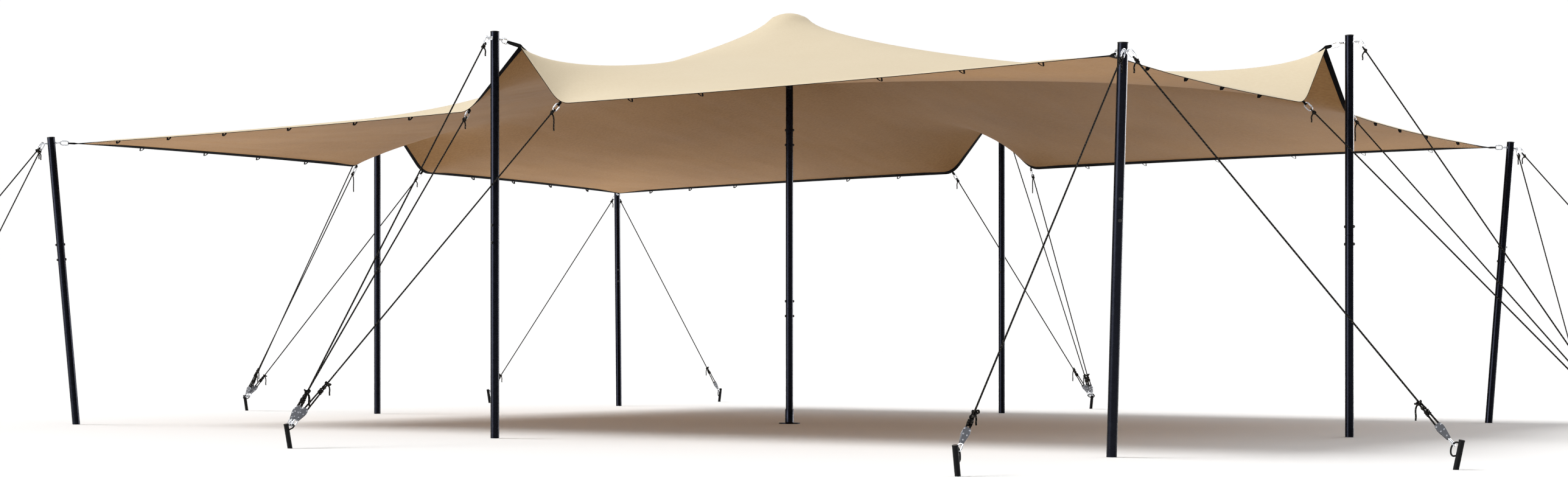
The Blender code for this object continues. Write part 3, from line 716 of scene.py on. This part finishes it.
def swept(path, section, closed=False, up=None, widths=None):
    """A form swept along a path; the section is its outline, counter-clockwise.

    On a closed path the twist that is left over is shared out along the way."""
    path = np.array(path, float)
    if closed:
        tangent = unit(np.roll(path, -1, axis=0) - np.roll(path, 1, axis=0))
    else:
        tangent = unit(np.gradient(path, axis=0))
    first = tangent[0]
    if up is None:
        up = UP if abs(first[2]) < 0.9 else EAST
    up = np.array(up, float)
    rise = unit(up - first * np.dot(up, first))
    rises = []
    for forward in tangent:
        rise = unit(rise - forward * np.dot(rise, forward))
        rises.append(rise)
    twist = 0.0
    if closed:
        back = unit(rise - first * np.dot(rise, first))
        twist = math.atan2(np.dot(np.cross(back, rises[0]), first), np.dot(back, rises[0]))
    rings = []
    for k, (centre, forward, rise) in enumerate(zip(path, tangent, rises)):
        turn = twist * k / len(path)
        rise = rise * math.cos(turn) + np.cross(forward, rise) * math.sin(turn)
        sideways = np.cross(rise, forward)
        if widths is not None:
            sideways = sideways * widths[k]
        rings.append([centre + sideways * a + rise * b for a, b in section])
    return lofted(rings, run_along([*path, path[0]] if closed else path), closed)


def circle(radius, sides=10):
    return [(radius * math.cos(math.tau * k / sides), radius * math.sin(math.tau * k / sides))
            for k in range(sides)]


def band(width, thickness):
    """The section of a flat strap with rounded sides; its width lies across the path."""
    a, b = width / 2, thickness / 2
    return [(a, -b * 0.4), (a, b * 0.4), (a - b * 0.6, b), (-a + b * 0.6, b),
            (-a, b * 0.4), (-a, -b * 0.4), (-a + b * 0.6, -b), (a - b * 0.6, -b)]


over, under = CLOTH_THICKNESS / 2, -CLOTH_THICKNESS / 2
binding_top = over + BINDING_THICKNESS * BINDING_SQUEEZE
binding_low = under - BINDING_THICKNESS
binding_section = [(BINDING_WIDTH, under), (BINDING_WIDTH, binding_low), (-FOLD, binding_low),
                   (-BINDING_THICKNESS, under), (-BINDING_THICKNESS, over), (-FOLD, binding_top),
                   (BINDING_LIP, binding_top), (BINDING_LIP, over), (CUT, over), (CUT, under)]


def binding_run(edge, inset):
    """The folded webbing along one edge, from a peak to a tip.

    Its two wide sides are split into triangles as the cloth beside them is, so that they lie
    parallel to it all the way.
    """
    forward = unit(np.gradient(edge, axis=0))
    inward = unit(inset - edge)
    rise = unit(np.cross(forward, inward))
    rise = rise * np.sign(rise[:, 2:3])
    rings = [[e + i * a + r * b for a, b in binding_section]
             for e, i, r in zip(edge, inward, rise)]
    turn = np.dot(np.cross(inward[1], rise[1]), forward[1]) < 0
    points, faces, places = lofted(rings, run_along(edge))
    sides = len(binding_section)
    halves = {1: ((0, 1, 3), (1, 2, 3)), sides - 1: ((0, 1, 2), (0, 2, 3))}
    new_faces, new_places = [], []
    for face, place in zip(faces, places):
        whole = (tuple(range(len(face))),)
        for half in (halves.get(face[0] % sides, whole) if len(face) == 4 else whole):
            picked = half if turn else half[::-1]
            new_faces.append([face[k] for k in picked])
            new_places.append([place[k] for k in picked])
    return points, new_faces, new_places


def edge_loop(edge, place):
    """A short webbing loop sewn under the binding at a place along the edge."""
    along = run_along(edge)
    at, ahead = (np.array([np.interp(spot, along, edge[:, k]) for k in range(3)])
                 for spot in (place, place + LOOP_STEP))
    forward = unit(ahead - at)
    path = [at + forward * (LOOP_HALF * out + LOOP_SLANT * slant)
            + (0.0, 0.0, binding_low - LOOP_DROP * drop) for out, slant, drop in LOOP_SHAPE]
    outward = np.cross(forward, UP)
    return swept(path, band(*LOOP_BAND), up=np.cross(outward, unit(path[1] - path[0])))


binding_parts, loop_parts = [], []
for x_way, y_way, corner in SIGNS:
    flip = (x_way, y_way, 1)
    for edge, inset, run_in, spots in (
            (quarter[:, -1], quarter[:, -2], (LONG_TIE - LONG_PEAK).length, LOOPS_LONG),
            (quarter[-1], quarter[-2], (SHORT_TIE - SHORT_PEAK).length, LOOPS_SHORT)):
        inset = inset.copy()
        inset[-1] = edge[-1] + inset[-2] - edge[-2]
        binding_parts.append((binding_run(edge * flip, inset * flip), 0))
        loop_parts += [(edge_loop(edge * flip, run_in + spot), 0) for spot in spots]
binding = piece("canopy_edge_binding", binding_parts, [webbing])
loops = piece("canopy_edge_loops", loop_parts, [webbing])

# Steel at each outer pole's top: an eyebolt right through the tube, with an eye on the side
# of the guy ropes and one on the side of the canopy, and the snap hook that the canopy's
# corner strap hangs on. All of it is forged or bent from round steel and zinc plated.
EYE_BELOW_TOP = 0.055
EYE_RADIUS = 0.018
EYE_WIRE = 0.0045
EYE_STEPS = 24
SHANK_REACH = 0.006
ROD_SIDES = 16
COLLAR_DEPTH = 0.0062
THIN_WASHER = (0.0115, 0.0022)
HOOK_LENGTH = 0.070
HOOK_WIDTH = 0.034
LINK_WIRE = 0.0042
GAP = 0.0003
FLAT = math.cos(math.radians(22.5))
GATE_RADIUS = 0.0058
GATE_LENGTH = 0.026
GATE_EDGE = 0.0008
PIN_RADIUS = 0.0022
PLATING_SPECK = 0.0025

# Zinc-plated steel, bright passivated: a clean silver with a faint blue cast and a fine
# mottle from the bath.
zinc, tree, shader = finish_named("bright_zinc_plated_steel", "#D5D8DD", 0.22, 1.0)
local = add(tree, "TexCoord", output="Object")
speck = add(tree, "TexNoise", {"Vector": local, "Scale": 1 / PLATING_SPECK, "Detail": 3.0})
gloss = add(tree, "MapRange", {"Value": speck, "From Min": 0.3, "From Max": 0.7,
                               "To Min": 0.16, "To Max": 0.34})
wire(shader, {"Roughness": gloss})


def aimed(start, heading):
    """A frame at start whose Z runs along the heading and whose X is level."""
    along = Vector(heading).normalized()
    level = UP.cross(along).normalized()
    turn = Matrix((level, along.cross(level), along)).transposed().to_4x4()
    return Matrix.Translation(start) @ turn


def oval(length, width, steps=9):
    """The middle line of a long link in the YZ plane, from z = 0 to z = length."""
    half = width / 2
    turns = np.linspace(0.0, math.pi, steps)
    return [(0.0, half * math.cos(t), length - half + half * math.sin(t)) for t in turns] + \
        [(0.0, -half * math.cos(t), half - half * math.sin(t)) for t in turns]


def closed_link(length, width):
    """A closed link of round steel."""
    return swept(oval(length, width), circle(LINK_WIRE), True, up=EAST)


def snap_hook():
    """A carabiner in the YZ plane with its screw sleeve and hinge pin."""
    sleeve = turned([(0.0, 0.0), (GATE_RADIUS - GATE_EDGE, 0.0), (GATE_RADIUS, GATE_EDGE),
                     (GATE_RADIUS, GATE_LENGTH - GATE_EDGE),
                     (GATE_RADIUS - GATE_EDGE, GATE_LENGTH), (0.0, GATE_LENGTH)], ROD_SIDES)
    side = Matrix.Translation((0.0, HOOK_WIDTH / 2, (HOOK_LENGTH - GATE_LENGTH) / 2))
    pin = bar(PIN_RADIUS, -LINK_WIRE - FINE_EDGE, LINK_WIRE + FINE_EDGE, PIN_SIDES)
    hinge = frame_at((0.0, HOOK_WIDTH / 2, HOOK_WIDTH / 2), QUARTER_TURN, "Y")
    return joined([closed_link(HOOK_LENGTH, HOOK_WIDTH), moved(sleeve, side), moved(pin, hinge)])


def eye_ring():
    turns = np.linspace(0.0, math.tau, EYE_STEPS, endpoint=False)
    path = [(EYE_RADIUS * math.cos(t), EYE_RADIUS * math.sin(t), 0.0) for t in turns]
    return swept(path, circle(EYE_WIRE), True, up=UP)


def eye_place(length, side):
    """An eye's centre in the pole's own frame: side 1 is outside, -1 is towards the canopy."""
    reach = POLE_RADIUS + SHANK_REACH + EYE_RADIUS
    return Vector((side * reach, 0.0, length - EYE_BELOW_TOP))


def hook_ends(pole, length, hold):
    """Where the canopy's snap hook starts and ends."""
    eye = pole @ eye_place(length, -1)
    pull = (hold - eye).normalized()
    start = eye + pull * (EYE_RADIUS + LINK_WIRE * 0.2)
    return start, start + pull * HOOK_LENGTH


def pole_steel(pole, length, hold):
    """The eyebolt through a pole's top with its nuts, washers and eyes, and the snap hook."""
    across = frame_at((0.0, 0.0, length - EYE_BELOW_TOP), QUARTER_TURN, "Y")
    shank = POLE_RADIUS + SHANK_REACH + EYE_WIRE * 0.3
    seat = POLE_RADIUS - FINE_EDGE
    bars = [bar(BOLT_RADIUS, -shank, shank, ROD_SIDES)]
    for side in (-1, 1):
        for radius, depth, sides in ((HEAD_RADIUS, COLLAR_DEPTH, HEAD_SIDES),
                                     (*THIN_WASHER, WASHER_SIDES)):
            bars.append(bar(radius, side * seat, side * (seat + depth), sides))
    eyes = [moved(eye_ring(), pole @ Matrix.Translation(eye_place(length, side)))
            for side in (-1, 1)]
    start, end = hook_ends(pole, length, hold)
    return joined([moved(part, pole @ across) for part in bars] + eyes +
                  [moved(snap_hook(), aimed(start, end - start))])


# The corner straps: a loop of black webbing sewn to each tip and peak of the canopy, over a
# doubled patch, and slipped over the snap hook's end.
STRAP_BAND = (0.026, 0.0032)
STRAP_ROOT = 0.075
STRAP_WIDTHS = (0.12, 0.55, 1.0, 0.95, 0.8)
STRAP_STEPS = 4
CORNER_STRAP = (0.006, 0.6)
SIDE_STRAP = (0.008, 1.0)


def smooth(points, steps):
    """A smooth line through the points, with the given steps between each two."""
    points = np.array(points, float)
    padded = np.concatenate([2 * points[:1] - points[1:2], points, 2 * points[-1:] - points[-2:-1]])
    result = []
    for k in range(len(points) - 1):
        a, b, c, d = padded[k:k + 4]
        for t in np.linspace(0.0, 1.0, steps, endpoint=False):
            result.append(0.5 * (2 * b + (c - a) * t + (2 * a - 5 * b + 4 * c - d) * t ** 2
                                 + (3 * b - a - 3 * c + d) * t ** 3))
    return np.array([*result, points[-1]])


def corner_strap(root, inward, hook_end, pull, spread, narrow):
    """The webbing loop from one side of the cloth's corner, round the hook's end and back."""
    reach = LINK_WIRE + STRAP_BAND[1] / 2 + GAP
    side = UP.cross(pull).normalized()
    leg = [root + inward + side * spread, root + inward * 0.3 + side * spread,
           root + side * spread * 0.9, root.lerp(hook_end, 0.5) + side * (spread + reach) * 0.4]
    turn = [hook_end + (side * math.cos(t) + pull * math.sin(t)) * reach
            for t in np.linspace(0.0, math.pi, 7)]
    other = [p - side * 2.0 * (p - root).dot(side) for p in reversed(leg)]
    path = smooth(leg + turn + other, STRAP_STEPS)
    widths = [*STRAP_WIDTHS[:4], *[STRAP_WIDTHS[4]] * len(turn), *STRAP_WIDTHS[3::-1]]
    places = np.linspace(0, len(widths) - 1, len(path))
    widths = np.interp(places, range(len(widths)), widths) * narrow
    return swept(path, band(*STRAP_BAND), up=side, widths=widths)


holds = {(-1, -1): (CORNER_POLE, CORNER_TIP, CORNER_STRAP),
         (0, -1): (SIDE_POLE, LONG_PEAK, SIDE_STRAP),
         (-1, 0): (SIDE_POLE, SHORT_PEAK, SIDE_STRAP)}
strap_parts = []
for x_way, y_way, name in SIGNS + SIDES:
    i, j = -abs(x_way), -abs(y_way)
    length, hold, form = holds[i, j]
    root, inner, hold = [mirrored(spot, x_way, y_way)
                         for spot in (quarter[i, j], quarter[2 * i, 2 * j], hold)]
    inward = (inner - root).normalized() * STRAP_ROOT
    piece(f"eyebolt_and_hook_{name}", [(pole_steel(pole_frames[name], length, hold), 0)], [zinc])
    end = hook_ends(pole_frames[name], length, hold)[1]
    strap_parts.append((corner_strap(root, inward, end, (end - hold).normalized(), *form), 0))
straps = piece("canopy_corner_straps", strap_parts, [webbing])

# The stakes: round steel bars driven in at a slant away from the tent, painted black, their
# heads a little mushroomed and bright where they are struck. A bent ring is welded on the side
# of the tent and takes the tensioners.
STAKE_RADIUS = 0.016
STAKE_HEIGHT = 0.166
STAKE_SINK = 0.003
STAKE_LEAN = math.radians(12.0)
STAKE_SIDES = 32
STAKE_HEAD = ((0.0160, -0.0100), (0.0170, -0.0050), (0.0172, -0.0025), (0.0155, -0.0004),
              (0.0080, 0.0))
STAKE_FACE = ((0.01472, 0.0), (0.0096, 0.0003), (0.0, 0.0004))
SIDE_STAKE = (7.05, 5.80, 0.0)
CORNER_STAKE_LONG = (5.21, 5.99, 0.0)
CORNER_STAKE_SHORT = (7.15, 3.88, 0.0)
RING_HEIGHT = 0.120
RING_REACH = 0.046
RING_HALF = 0.041
RING_WIRE = 0.005
RING_BEND = 0.015
RING_TILT = math.radians(50.0)
ROPE_SPACING = 0.022
D_RING = ((-0.010, 0.078), (-0.030, 0.074), (-0.044, 0.084), (-0.050, 0.102), (-0.050, 0.122),
          (-0.043, 0.140), (-0.030, 0.149), (-0.010, 0.147))
D_RING_HOLD = (-0.0455, 0.0, 0.136)
CHIPS_PER_METRE = 120.0

stake_paint, tree, shader = finish_named("black_painted_steel", "#0A0B0D", 0.62,
                                         Specular_IOR_Level=0.15)
local = add(tree, "TexCoord", output="Object")
chips = add(tree, "TexNoise", {"Vector": local, "Scale": CHIPS_PER_METRE, "Detail": 6.0,
                               "Roughness": 0.75})
worn = add(tree, "MapRange", {"Value": chips, "From Min": 0.62, "From Max": 0.70,
                              "To Min": 0.0, "To Max": 1.0})
tint = add(tree, "Mix", {"Factor": worn, "A": linear("#0A0B0D"), "B": linear("#343436")},
           "Result", data_type="RGBA")
relief = add(tree, "Bump", {"Height": chips, "Strength": 0.35, "Distance": 0.0006})
wire(shader, {"Base Color": tint, "Normal": relief})
struck_steel = finish_named("struck_bare_steel", "#6E6C6A", 0.48, 1.0)[0]

ring_frame = frame_at((math.tan(STAKE_LEAN) * (RING_HEIGHT - STAKE_HEIGHT), 0.0, RING_HEIGHT),
                      math.pi + RING_TILT, "Y")


def stake_ring_bar(lateral):
    return ring_frame @ Vector((RING_REACH, lateral, 0.0))


def stake_parts(shared):
    """A stake with a wide ring for three ropes where it is shared, or a D for a single one."""
    length = STAKE_HEIGHT / math.cos(STAKE_LEAN)
    lean = frame_at((0.0, 0.0, STAKE_HEIGHT - STAKE_SINK), STAKE_LEAN, "Y")
    body = moved(turned([(0.0, -length), (STAKE_RADIUS, -length), *STAKE_HEAD], STAKE_SIDES), lean)
    face = moved(turned(STAKE_FACE, STAKE_SIDES), lean)
    foot = body[0][:, 2] < STAKE_HEIGHT / 2
    body[0][foot, 0] -= body[0][foot, 2] * math.tan(STAKE_LEAN)
    body[0][foot, 2] = 0.0
    if shared:
        inner = RING_REACH - RING_BEND
        arm = [(0.0, STAKE_RADIUS * 0.5), (STAKE_RADIUS * 0.5, STAKE_RADIUS * 1.25),
               (inner * 0.6, RING_HALF * 0.86)]
        arm += [(inner + RING_BEND * math.sin(t), RING_HALF - RING_BEND + RING_BEND * math.cos(t))
                for t in np.linspace(0.0, math.pi / 2, 6)]
        path = [(a, b, 0.0) for a, b in arm] + [(a, -b, 0.0) for a, b in reversed(arm)]
        ring = moved(swept(path, circle(RING_WIRE), up=UP), ring_frame)
    else:
        path = [(x + math.tan(STAKE_LEAN) * (z - STAKE_HEIGHT), 0.0, z) for x, z in D_RING]
        ring = swept(smooth(path, 3), circle(RING_WIRE), up=NORTH)
    return [(body, 0), (face, 1), (ring, 0)]


def stake_piece(name, spot, heading, shared):
    """A stake at its spot, turned the way that its ropes come from; its frame is given back."""
    place = frame_at(spot, heading)
    piece(f"ground_stake_{name}", stake_parts(shared), [stake_paint, struck_steel],
          place, [f"stake_{name}"])
    return place


# The guy ropes: 11 mm braided polyester, black with cream tracer threads. Each ends above in a
# bight knotted round a snap hook, and below in a doubled run, knotted off, that turns in a
# steel-cheeked tensioner. A link joins the tensioner to the stake's ring.
ROPE_RADIUS = 0.0055
BRAID_PITCH = 0.022
TRACER_PITCH = 0.050
TRACER_SHARE = 0.2
BOTTOM_LINK = 0.052
BOTTOM_LINK_WIDTH = 0.026
BLOCK_LENGTH = 0.105
BLOCK_THICKNESS = 0.022
CHEEK = 0.0024
CHEEK_OUTLINE = ((-0.006, 0.000), (0.006, 0.000), (0.011, 0.006), (0.0215, 0.066),
                 (0.022, 0.078), (0.019, 0.098), (0.015, 0.105), (-0.015, 0.105),
                 (-0.019, 0.098), (-0.022, 0.078), (-0.0215, 0.066), (-0.011, 0.006))
CORE_SHARES = (0.86, 0.9)
CORE_LIFT = 0.004
CORE_CHAMFER = 0.002
RIVETS = ((-0.0145, 0.092), (0.0145, 0.092), (-0.0105, 0.058), (0.0105, 0.058), (0.0, 0.022))
RIVET_DOME = ((0.0, 0.0), (0.0050, 0.0), (0.00425, 0.00144), (0.00225, 0.00228), (0.0, 0.0024))
RIVET_SIDES = 14
TENSIONER_FACE = (0.57, -0.82, 0.0)
STRAND_SPREAD = 0.011
DOUBLED_RUN = (0.15, 0.23, 0.11)
STRAND_START = 0.02
LINE_START = 0.01
LINE_END = 0.022
KNOT_SIZE = ROPE_RADIUS * 2.1
KNOT_SPACING = 0.036
KNOT_TURN = 1.7
MEETING_KNOT = (1.15, 0.0, 25.0)
SECOND_KNOT = (1.0, 1.1, -20.0)
HOOK_KNOT = (1.05, 0.8, 70.0)
HOOK_KNOT_DROP = 0.026
HOOK_TAIL_DROP = 0.028
WRAP_DROP = 0.085
WRAP_RADIUS = ROPE_RADIUS * 2.2
WRAP_PITCH = ROPE_RADIUS * 2.1
WRAP_TURNS = 2.6
WRAP_STEPS = 11
BOW = ((0.004, 0.0, -0.004), (0.014, 0.007, 0.002), (0.022, 0.006, 0.008),
       (0.021, -0.006, 0.012), (0.010, -0.007, 0.006), (0.002, 0.0, 0.000))
BIGHT_NECK = 0.030
BIGHT_SHOULDER = 0.012
BIGHT_PLAY = 0.0002
TAIL_STAGES = ((0.0, 0.0), (0.30, 0.10), (0.40, 0.35), (0.34, 0.7), (0.38, 1.0))
TAIL_SWING = 0.045
TAIL_LENGTHS = (0.06, 0.10, 0.05, 0.08, 0.07)
POLE_TAIL = 0.05
TIE_HOLD = 0.013
TIE_ROOT = 0.020
TIE_WIDTH = 0.014
TIE_BAND = (0.016, 0.0030)
TIE_TAILS = {"front": (0.045, 0.11), "right": (0.05, 0.12), "back": (0.14, 0.06),
             "left": (0.05, 0.15)}

rope_black, tree, shader = finish_named("black_braided_polyester", "#0B0A0A", 0.8,
                                        Specular_IOR_Level=0.1)
run = add(tree, "UVMap", uv_map="run")
split = add(tree, "SeparateXYZ", {"Vector": run}).node
round_run, length_run = split.outputs[0], split.outputs[1]
strands = []
for lay in (-1.0, 1.0):
    wound = add(tree, "Math", {0: length_run, 1: lay / BRAID_PITCH}, operation="MULTIPLY")
    around = add(tree, "Math", {0: round_run, 1: 4.0, 2: wound}, operation="MULTIPLY_ADD")
    angle = add(tree, "Math", {0: around, 1: math.tau}, operation="MULTIPLY")
    strands.append(add(tree, "Math", {0: angle}, operation="SINE"))
braid = add(tree, "Math", {0: strands[0], 1: strands[1]}, operation="MULTIPLY")
raised = add(tree, "Math", {0: braid, 1: 0.15}, operation="GREATER_THAN")
tracer = add(tree, "Math", {0: length_run, 1: 1 / TRACER_PITCH, 2: round_run},
             operation="MULTIPLY_ADD")
tracer = add(tree, "Math", {0: tracer, 1: 2.0}, operation="MULTIPLY")
tracer = add(tree, "Math", {0: tracer}, operation="FRACT")
on_tracer = add(tree, "Math", {0: tracer, 1: TRACER_SHARE}, operation="LESS_THAN")
fleck = add(tree, "Math", {0: on_tracer, 1: raised}, operation="MULTIPLY")
tint = add(tree, "Mix", {"Factor": fleck, "A": linear("#0B0A0A"), "B": linear("#7F786C")},
           "Result", data_type="RGBA")
relief = add(tree, "Bump", {"Height": braid, "Strength": 0.8, "Distance": 0.0012})
wire(shader, {"Base Color": tint, "Normal": relief})

# Rolled stainless sheet, stamped and tumbled: a duller, darker grey than the plated links.
stamped_stainless = finish_named("stamped_stainless_sheet", "#7C7E83", 0.42, 1.0)[0]


def tensioner(low):
    """Cheeks and rivets, and the body between them, standing on z = low in the rope's frame."""
    lying = Matrix.Translation((0.0, 0.0, low)) @ Matrix(((0, 0, 1, 0), (1, 0, 0, 0),
                                                          (0, 1, 0, 0), (0, 0, 0, 1)))
    dome = turned(RIVET_DOME, RIVET_SIDES)
    cheeks, rivets = [], []
    for side in (-1, 1):
        offset = Matrix.Translation((0.0, 0.0, side * (BLOCK_THICKNESS - CHEEK) / 2))
        cheeks.append((moved(slab(CHEEK_OUTLINE, CHEEK), lying @ offset), 3))
        face = frame_at((0.0, 0.0, side * BLOCK_THICKNESS / 2), math.pi if side < 0 else 0.0, "X")
        rivets += [(moved(dome, lying @ Matrix.Translation((across, along, 0.0)) @ face), 1)
                   for across, along in RIVETS]
    core = slab([(a * CORE_SHARES[0], b * CORE_SHARES[1] + CORE_LIFT) for a, b in CHEEK_OUTLINE],
                BLOCK_THICKNESS - CHEEK * 2.2, CORE_CHAMFER)
    return [*cheeks, *rivets, (moved(core, lying), 2)]


def knot_lump(height, phase, share, turn, tilt):
    """A pulled-up overhand knot: a rope's end wound three times through itself."""
    steps = np.linspace(0.0, math.tau, 40, endpoint=False)
    wound = np.stack([np.sin(steps) + 2.0 * np.sin(2.0 * steps),
                      np.cos(steps) - 2.0 * np.cos(2.0 * steps),
                      -np.sin(3.0 * steps) * 1.6], axis=1)
    lump = swept(wound * KNOT_SIZE * share / 3.0, circle(ROPE_RADIUS, 8), True)
    return moved(lump, frame_at((0.0, 0.0, height), phase + turn) @
                 Matrix.Rotation(math.radians(tilt), 4, "X"))


def tail(height, down, length):
    """A spare end: it leaves the knot sideways, then hangs by its own weight."""
    out = Vector((down.x, down.y, 0.0)).normalized()
    start = UP * height + out * ROPE_RADIUS * 2.0
    path = [start + out * (a * TAIL_SWING) + down * (b * length) for a, b in TAIL_STAGES]
    return swept(smooth(path, 4), circle(ROPE_RADIUS * 0.95, 8))


def rope_parts(span, frame_turn, index, crosswise, tail_length):
    """Everything between the ring's bar and the upper eye's bar, along Z."""
    rope, wrap = circle(ROPE_RADIUS, 10), circle(ROPE_RADIUS, 8)
    down = frame_turn.inverted() @ -UP
    face = frame_turn.inverted() @ Vector(TENSIONER_FACE)
    spin = Matrix.Rotation(math.atan2(face.y, face.x), 4, "Z")
    lower = LINK_WIRE * FLAT + RING_WIRE + GAP
    upper = LINK_WIRE * FLAT + EYE_WIRE + GAP
    block_low = BOTTOM_LINK - lower - LINK_WIRE
    block_high = block_low + BLOCK_LENGTH
    hook_low = span + upper - HOOK_LENGTH
    doubled = DOUBLED_RUN[index % 3]
    meet = block_high + doubled
    phase = index * KNOT_TURN
    link_place = frame_at((0.0, 0.0, -lower), QUARTER_TURN if crosswise else 0.0)
    steel = [(moved(closed_link(BOTTOM_LINK, BOTTOM_LINK_WIDTH), link_place), 1)]
    steel += [(moved(part, spin), number) for part, number in tensioner(block_low)]
    steel.append((moved(snap_hook(), Matrix.Translation((0.0, 0.0, hook_low))), 1))

    line = [(0.0, 0.0, z) for z in np.linspace(meet - LINE_START, hook_low - LINE_END, 8)]
    ropes = [swept(line, rope, up=EAST)]
    for side in (-1, 1):
        across = spin @ NORTH * side
        run = [across * STRAND_SPREAD + UP * (block_high - STRAND_START),
               across * STRAND_SPREAD * 0.8 + UP * (block_high + doubled * 0.35),
               across * ROPE_RADIUS + UP * meet]
        ropes.append(swept(smooth(run, 4), rope, up=EAST))
    ropes.append(knot_lump(meet, phase, *MEETING_KNOT))
    ropes.append(knot_lump(meet - KNOT_SPACING, phase, *SECOND_KNOT))
    turns = [k / WRAP_STEPS for k in range(int(WRAP_TURNS * WRAP_STEPS) + 1)]
    wound = [(WRAP_RADIUS * math.cos(phase + math.tau * turn),
              WRAP_RADIUS * math.sin(phase + math.tau * turn),
              meet - WRAP_DROP + WRAP_PITCH * turn) for turn in turns]
    ropes.append(swept(wound, wrap, up=UP))
    bow = [frame_at((0.0, 0.0, meet), phase) @ Vector(spot) for spot in BOW]
    ropes.append(swept(smooth(bow, 3), wrap))
    ropes.append(tail(meet, down, TAIL_LENGTHS[index % 5]))

    bight = LINK_WIRE + ROPE_RADIUS + BIGHT_PLAY
    neck = [(ROPE_RADIUS, 0.0, hook_low - BIGHT_NECK), (bight, 0.0, hook_low - BIGHT_SHOULDER)]
    loop = [(bight * math.cos(t), 0.0, hook_low + bight * math.sin(t))
            for t in np.linspace(0.0, math.pi, 9)]
    ropes.append(swept(neck + loop + [(-x, y, z) for x, y, z in reversed(neck)], wrap, up=NORTH))
    ropes.append(knot_lump(hook_low - HOOK_KNOT_DROP, phase, *HOOK_KNOT))
    ropes.append(tail(hook_low - HOOK_TAIL_DROP, down, tail_length))
    return steel + [(part, 0) for part in ropes]


guy_numbers = itertools.count()


def guy(name, low, high, crosswise, tail_length):
    """One guy rope with all its fittings, in a frame that looks up along it."""
    place = aimed(low, high - low)
    parts = rope_parts((high - low).length, place.to_3x3(), next(guy_numbers), crosswise,
                       tail_length)
    piece(f"guy_rope_{name}", parts, [rope_black, zinc, polyamide, stamped_stainless],
          place, [f"guy_{name}"])


def tie_loop(root, pull):
    """The webbing loop at a tie-down, with its tails sewn under the canopy's edge."""
    reach = TIE_HOLD + TIE_ROOT + LINK_WIRE
    loop = swept(oval(reach, TIE_WIDTH), band(*TIE_BAND), True, up=-UP)
    return moved(loop, aimed(root - pull * TIE_ROOT, pull) @ Matrix.Rotation(QUARTER_TURN, 4, "Z"))


for x_way, y_way, corner in SIGNS:
    foot = mirrored(CORNER_FOOT, x_way, y_way)
    for place, way, hand in ((CORNER_STAKE_LONG, "long", x_way * y_way),
                             (CORNER_STAKE_SHORT, "short", -x_way * y_way)):
        spot = mirrored(place, x_way, y_way)
        stand = stake_piece(f"{corner}_{way}", spot, math.atan2(*(spot - foot).yx), False)
        turn = math.radians(45.0) * hand
        high = pole_frames[corner] @ (eye_place(CORNER_POLE, 1) + Vector(
            (EYE_RADIUS * math.cos(turn), EYE_RADIUS * math.sin(turn), 0.0)))
        guy(f"{corner}_{way}", stand @ Vector(D_RING_HOLD), high, True, POLE_TAIL)
tie_parts = []
for x_way, y_way, side in SIDES:
    stand = stake_piece(side, mirrored(SIDE_STAKE, x_way, y_way), math.atan2(y_way, x_way), True)
    high = pole_frames[side] @ (eye_place(SIDE_POLE, 1) + Vector((EYE_RADIUS, 0.0, 0.0)))
    guy(f"{side}_pole", stand @ stake_ring_bar(0.0), high, False, POLE_TAIL)
    for hand, tag, tail_length in zip((-1, 1), "ab", TIE_TAILS[side]):
        root = mirrored(SHORT_TIE if x_way else LONG_TIE, x_way or -y_way * hand,
                        y_way or x_way * hand)
        low = stand @ stake_ring_bar(ROPE_SPACING * hand)
        pull = (low - root).normalized()
        tie_parts.append((tie_loop(root, pull), 0))
        guy(f"{side}_{tag}", low, root + pull * TIE_HOLD, False, tail_length)
ties = piece("canopy_tie_loops", tie_parts, [webbing])
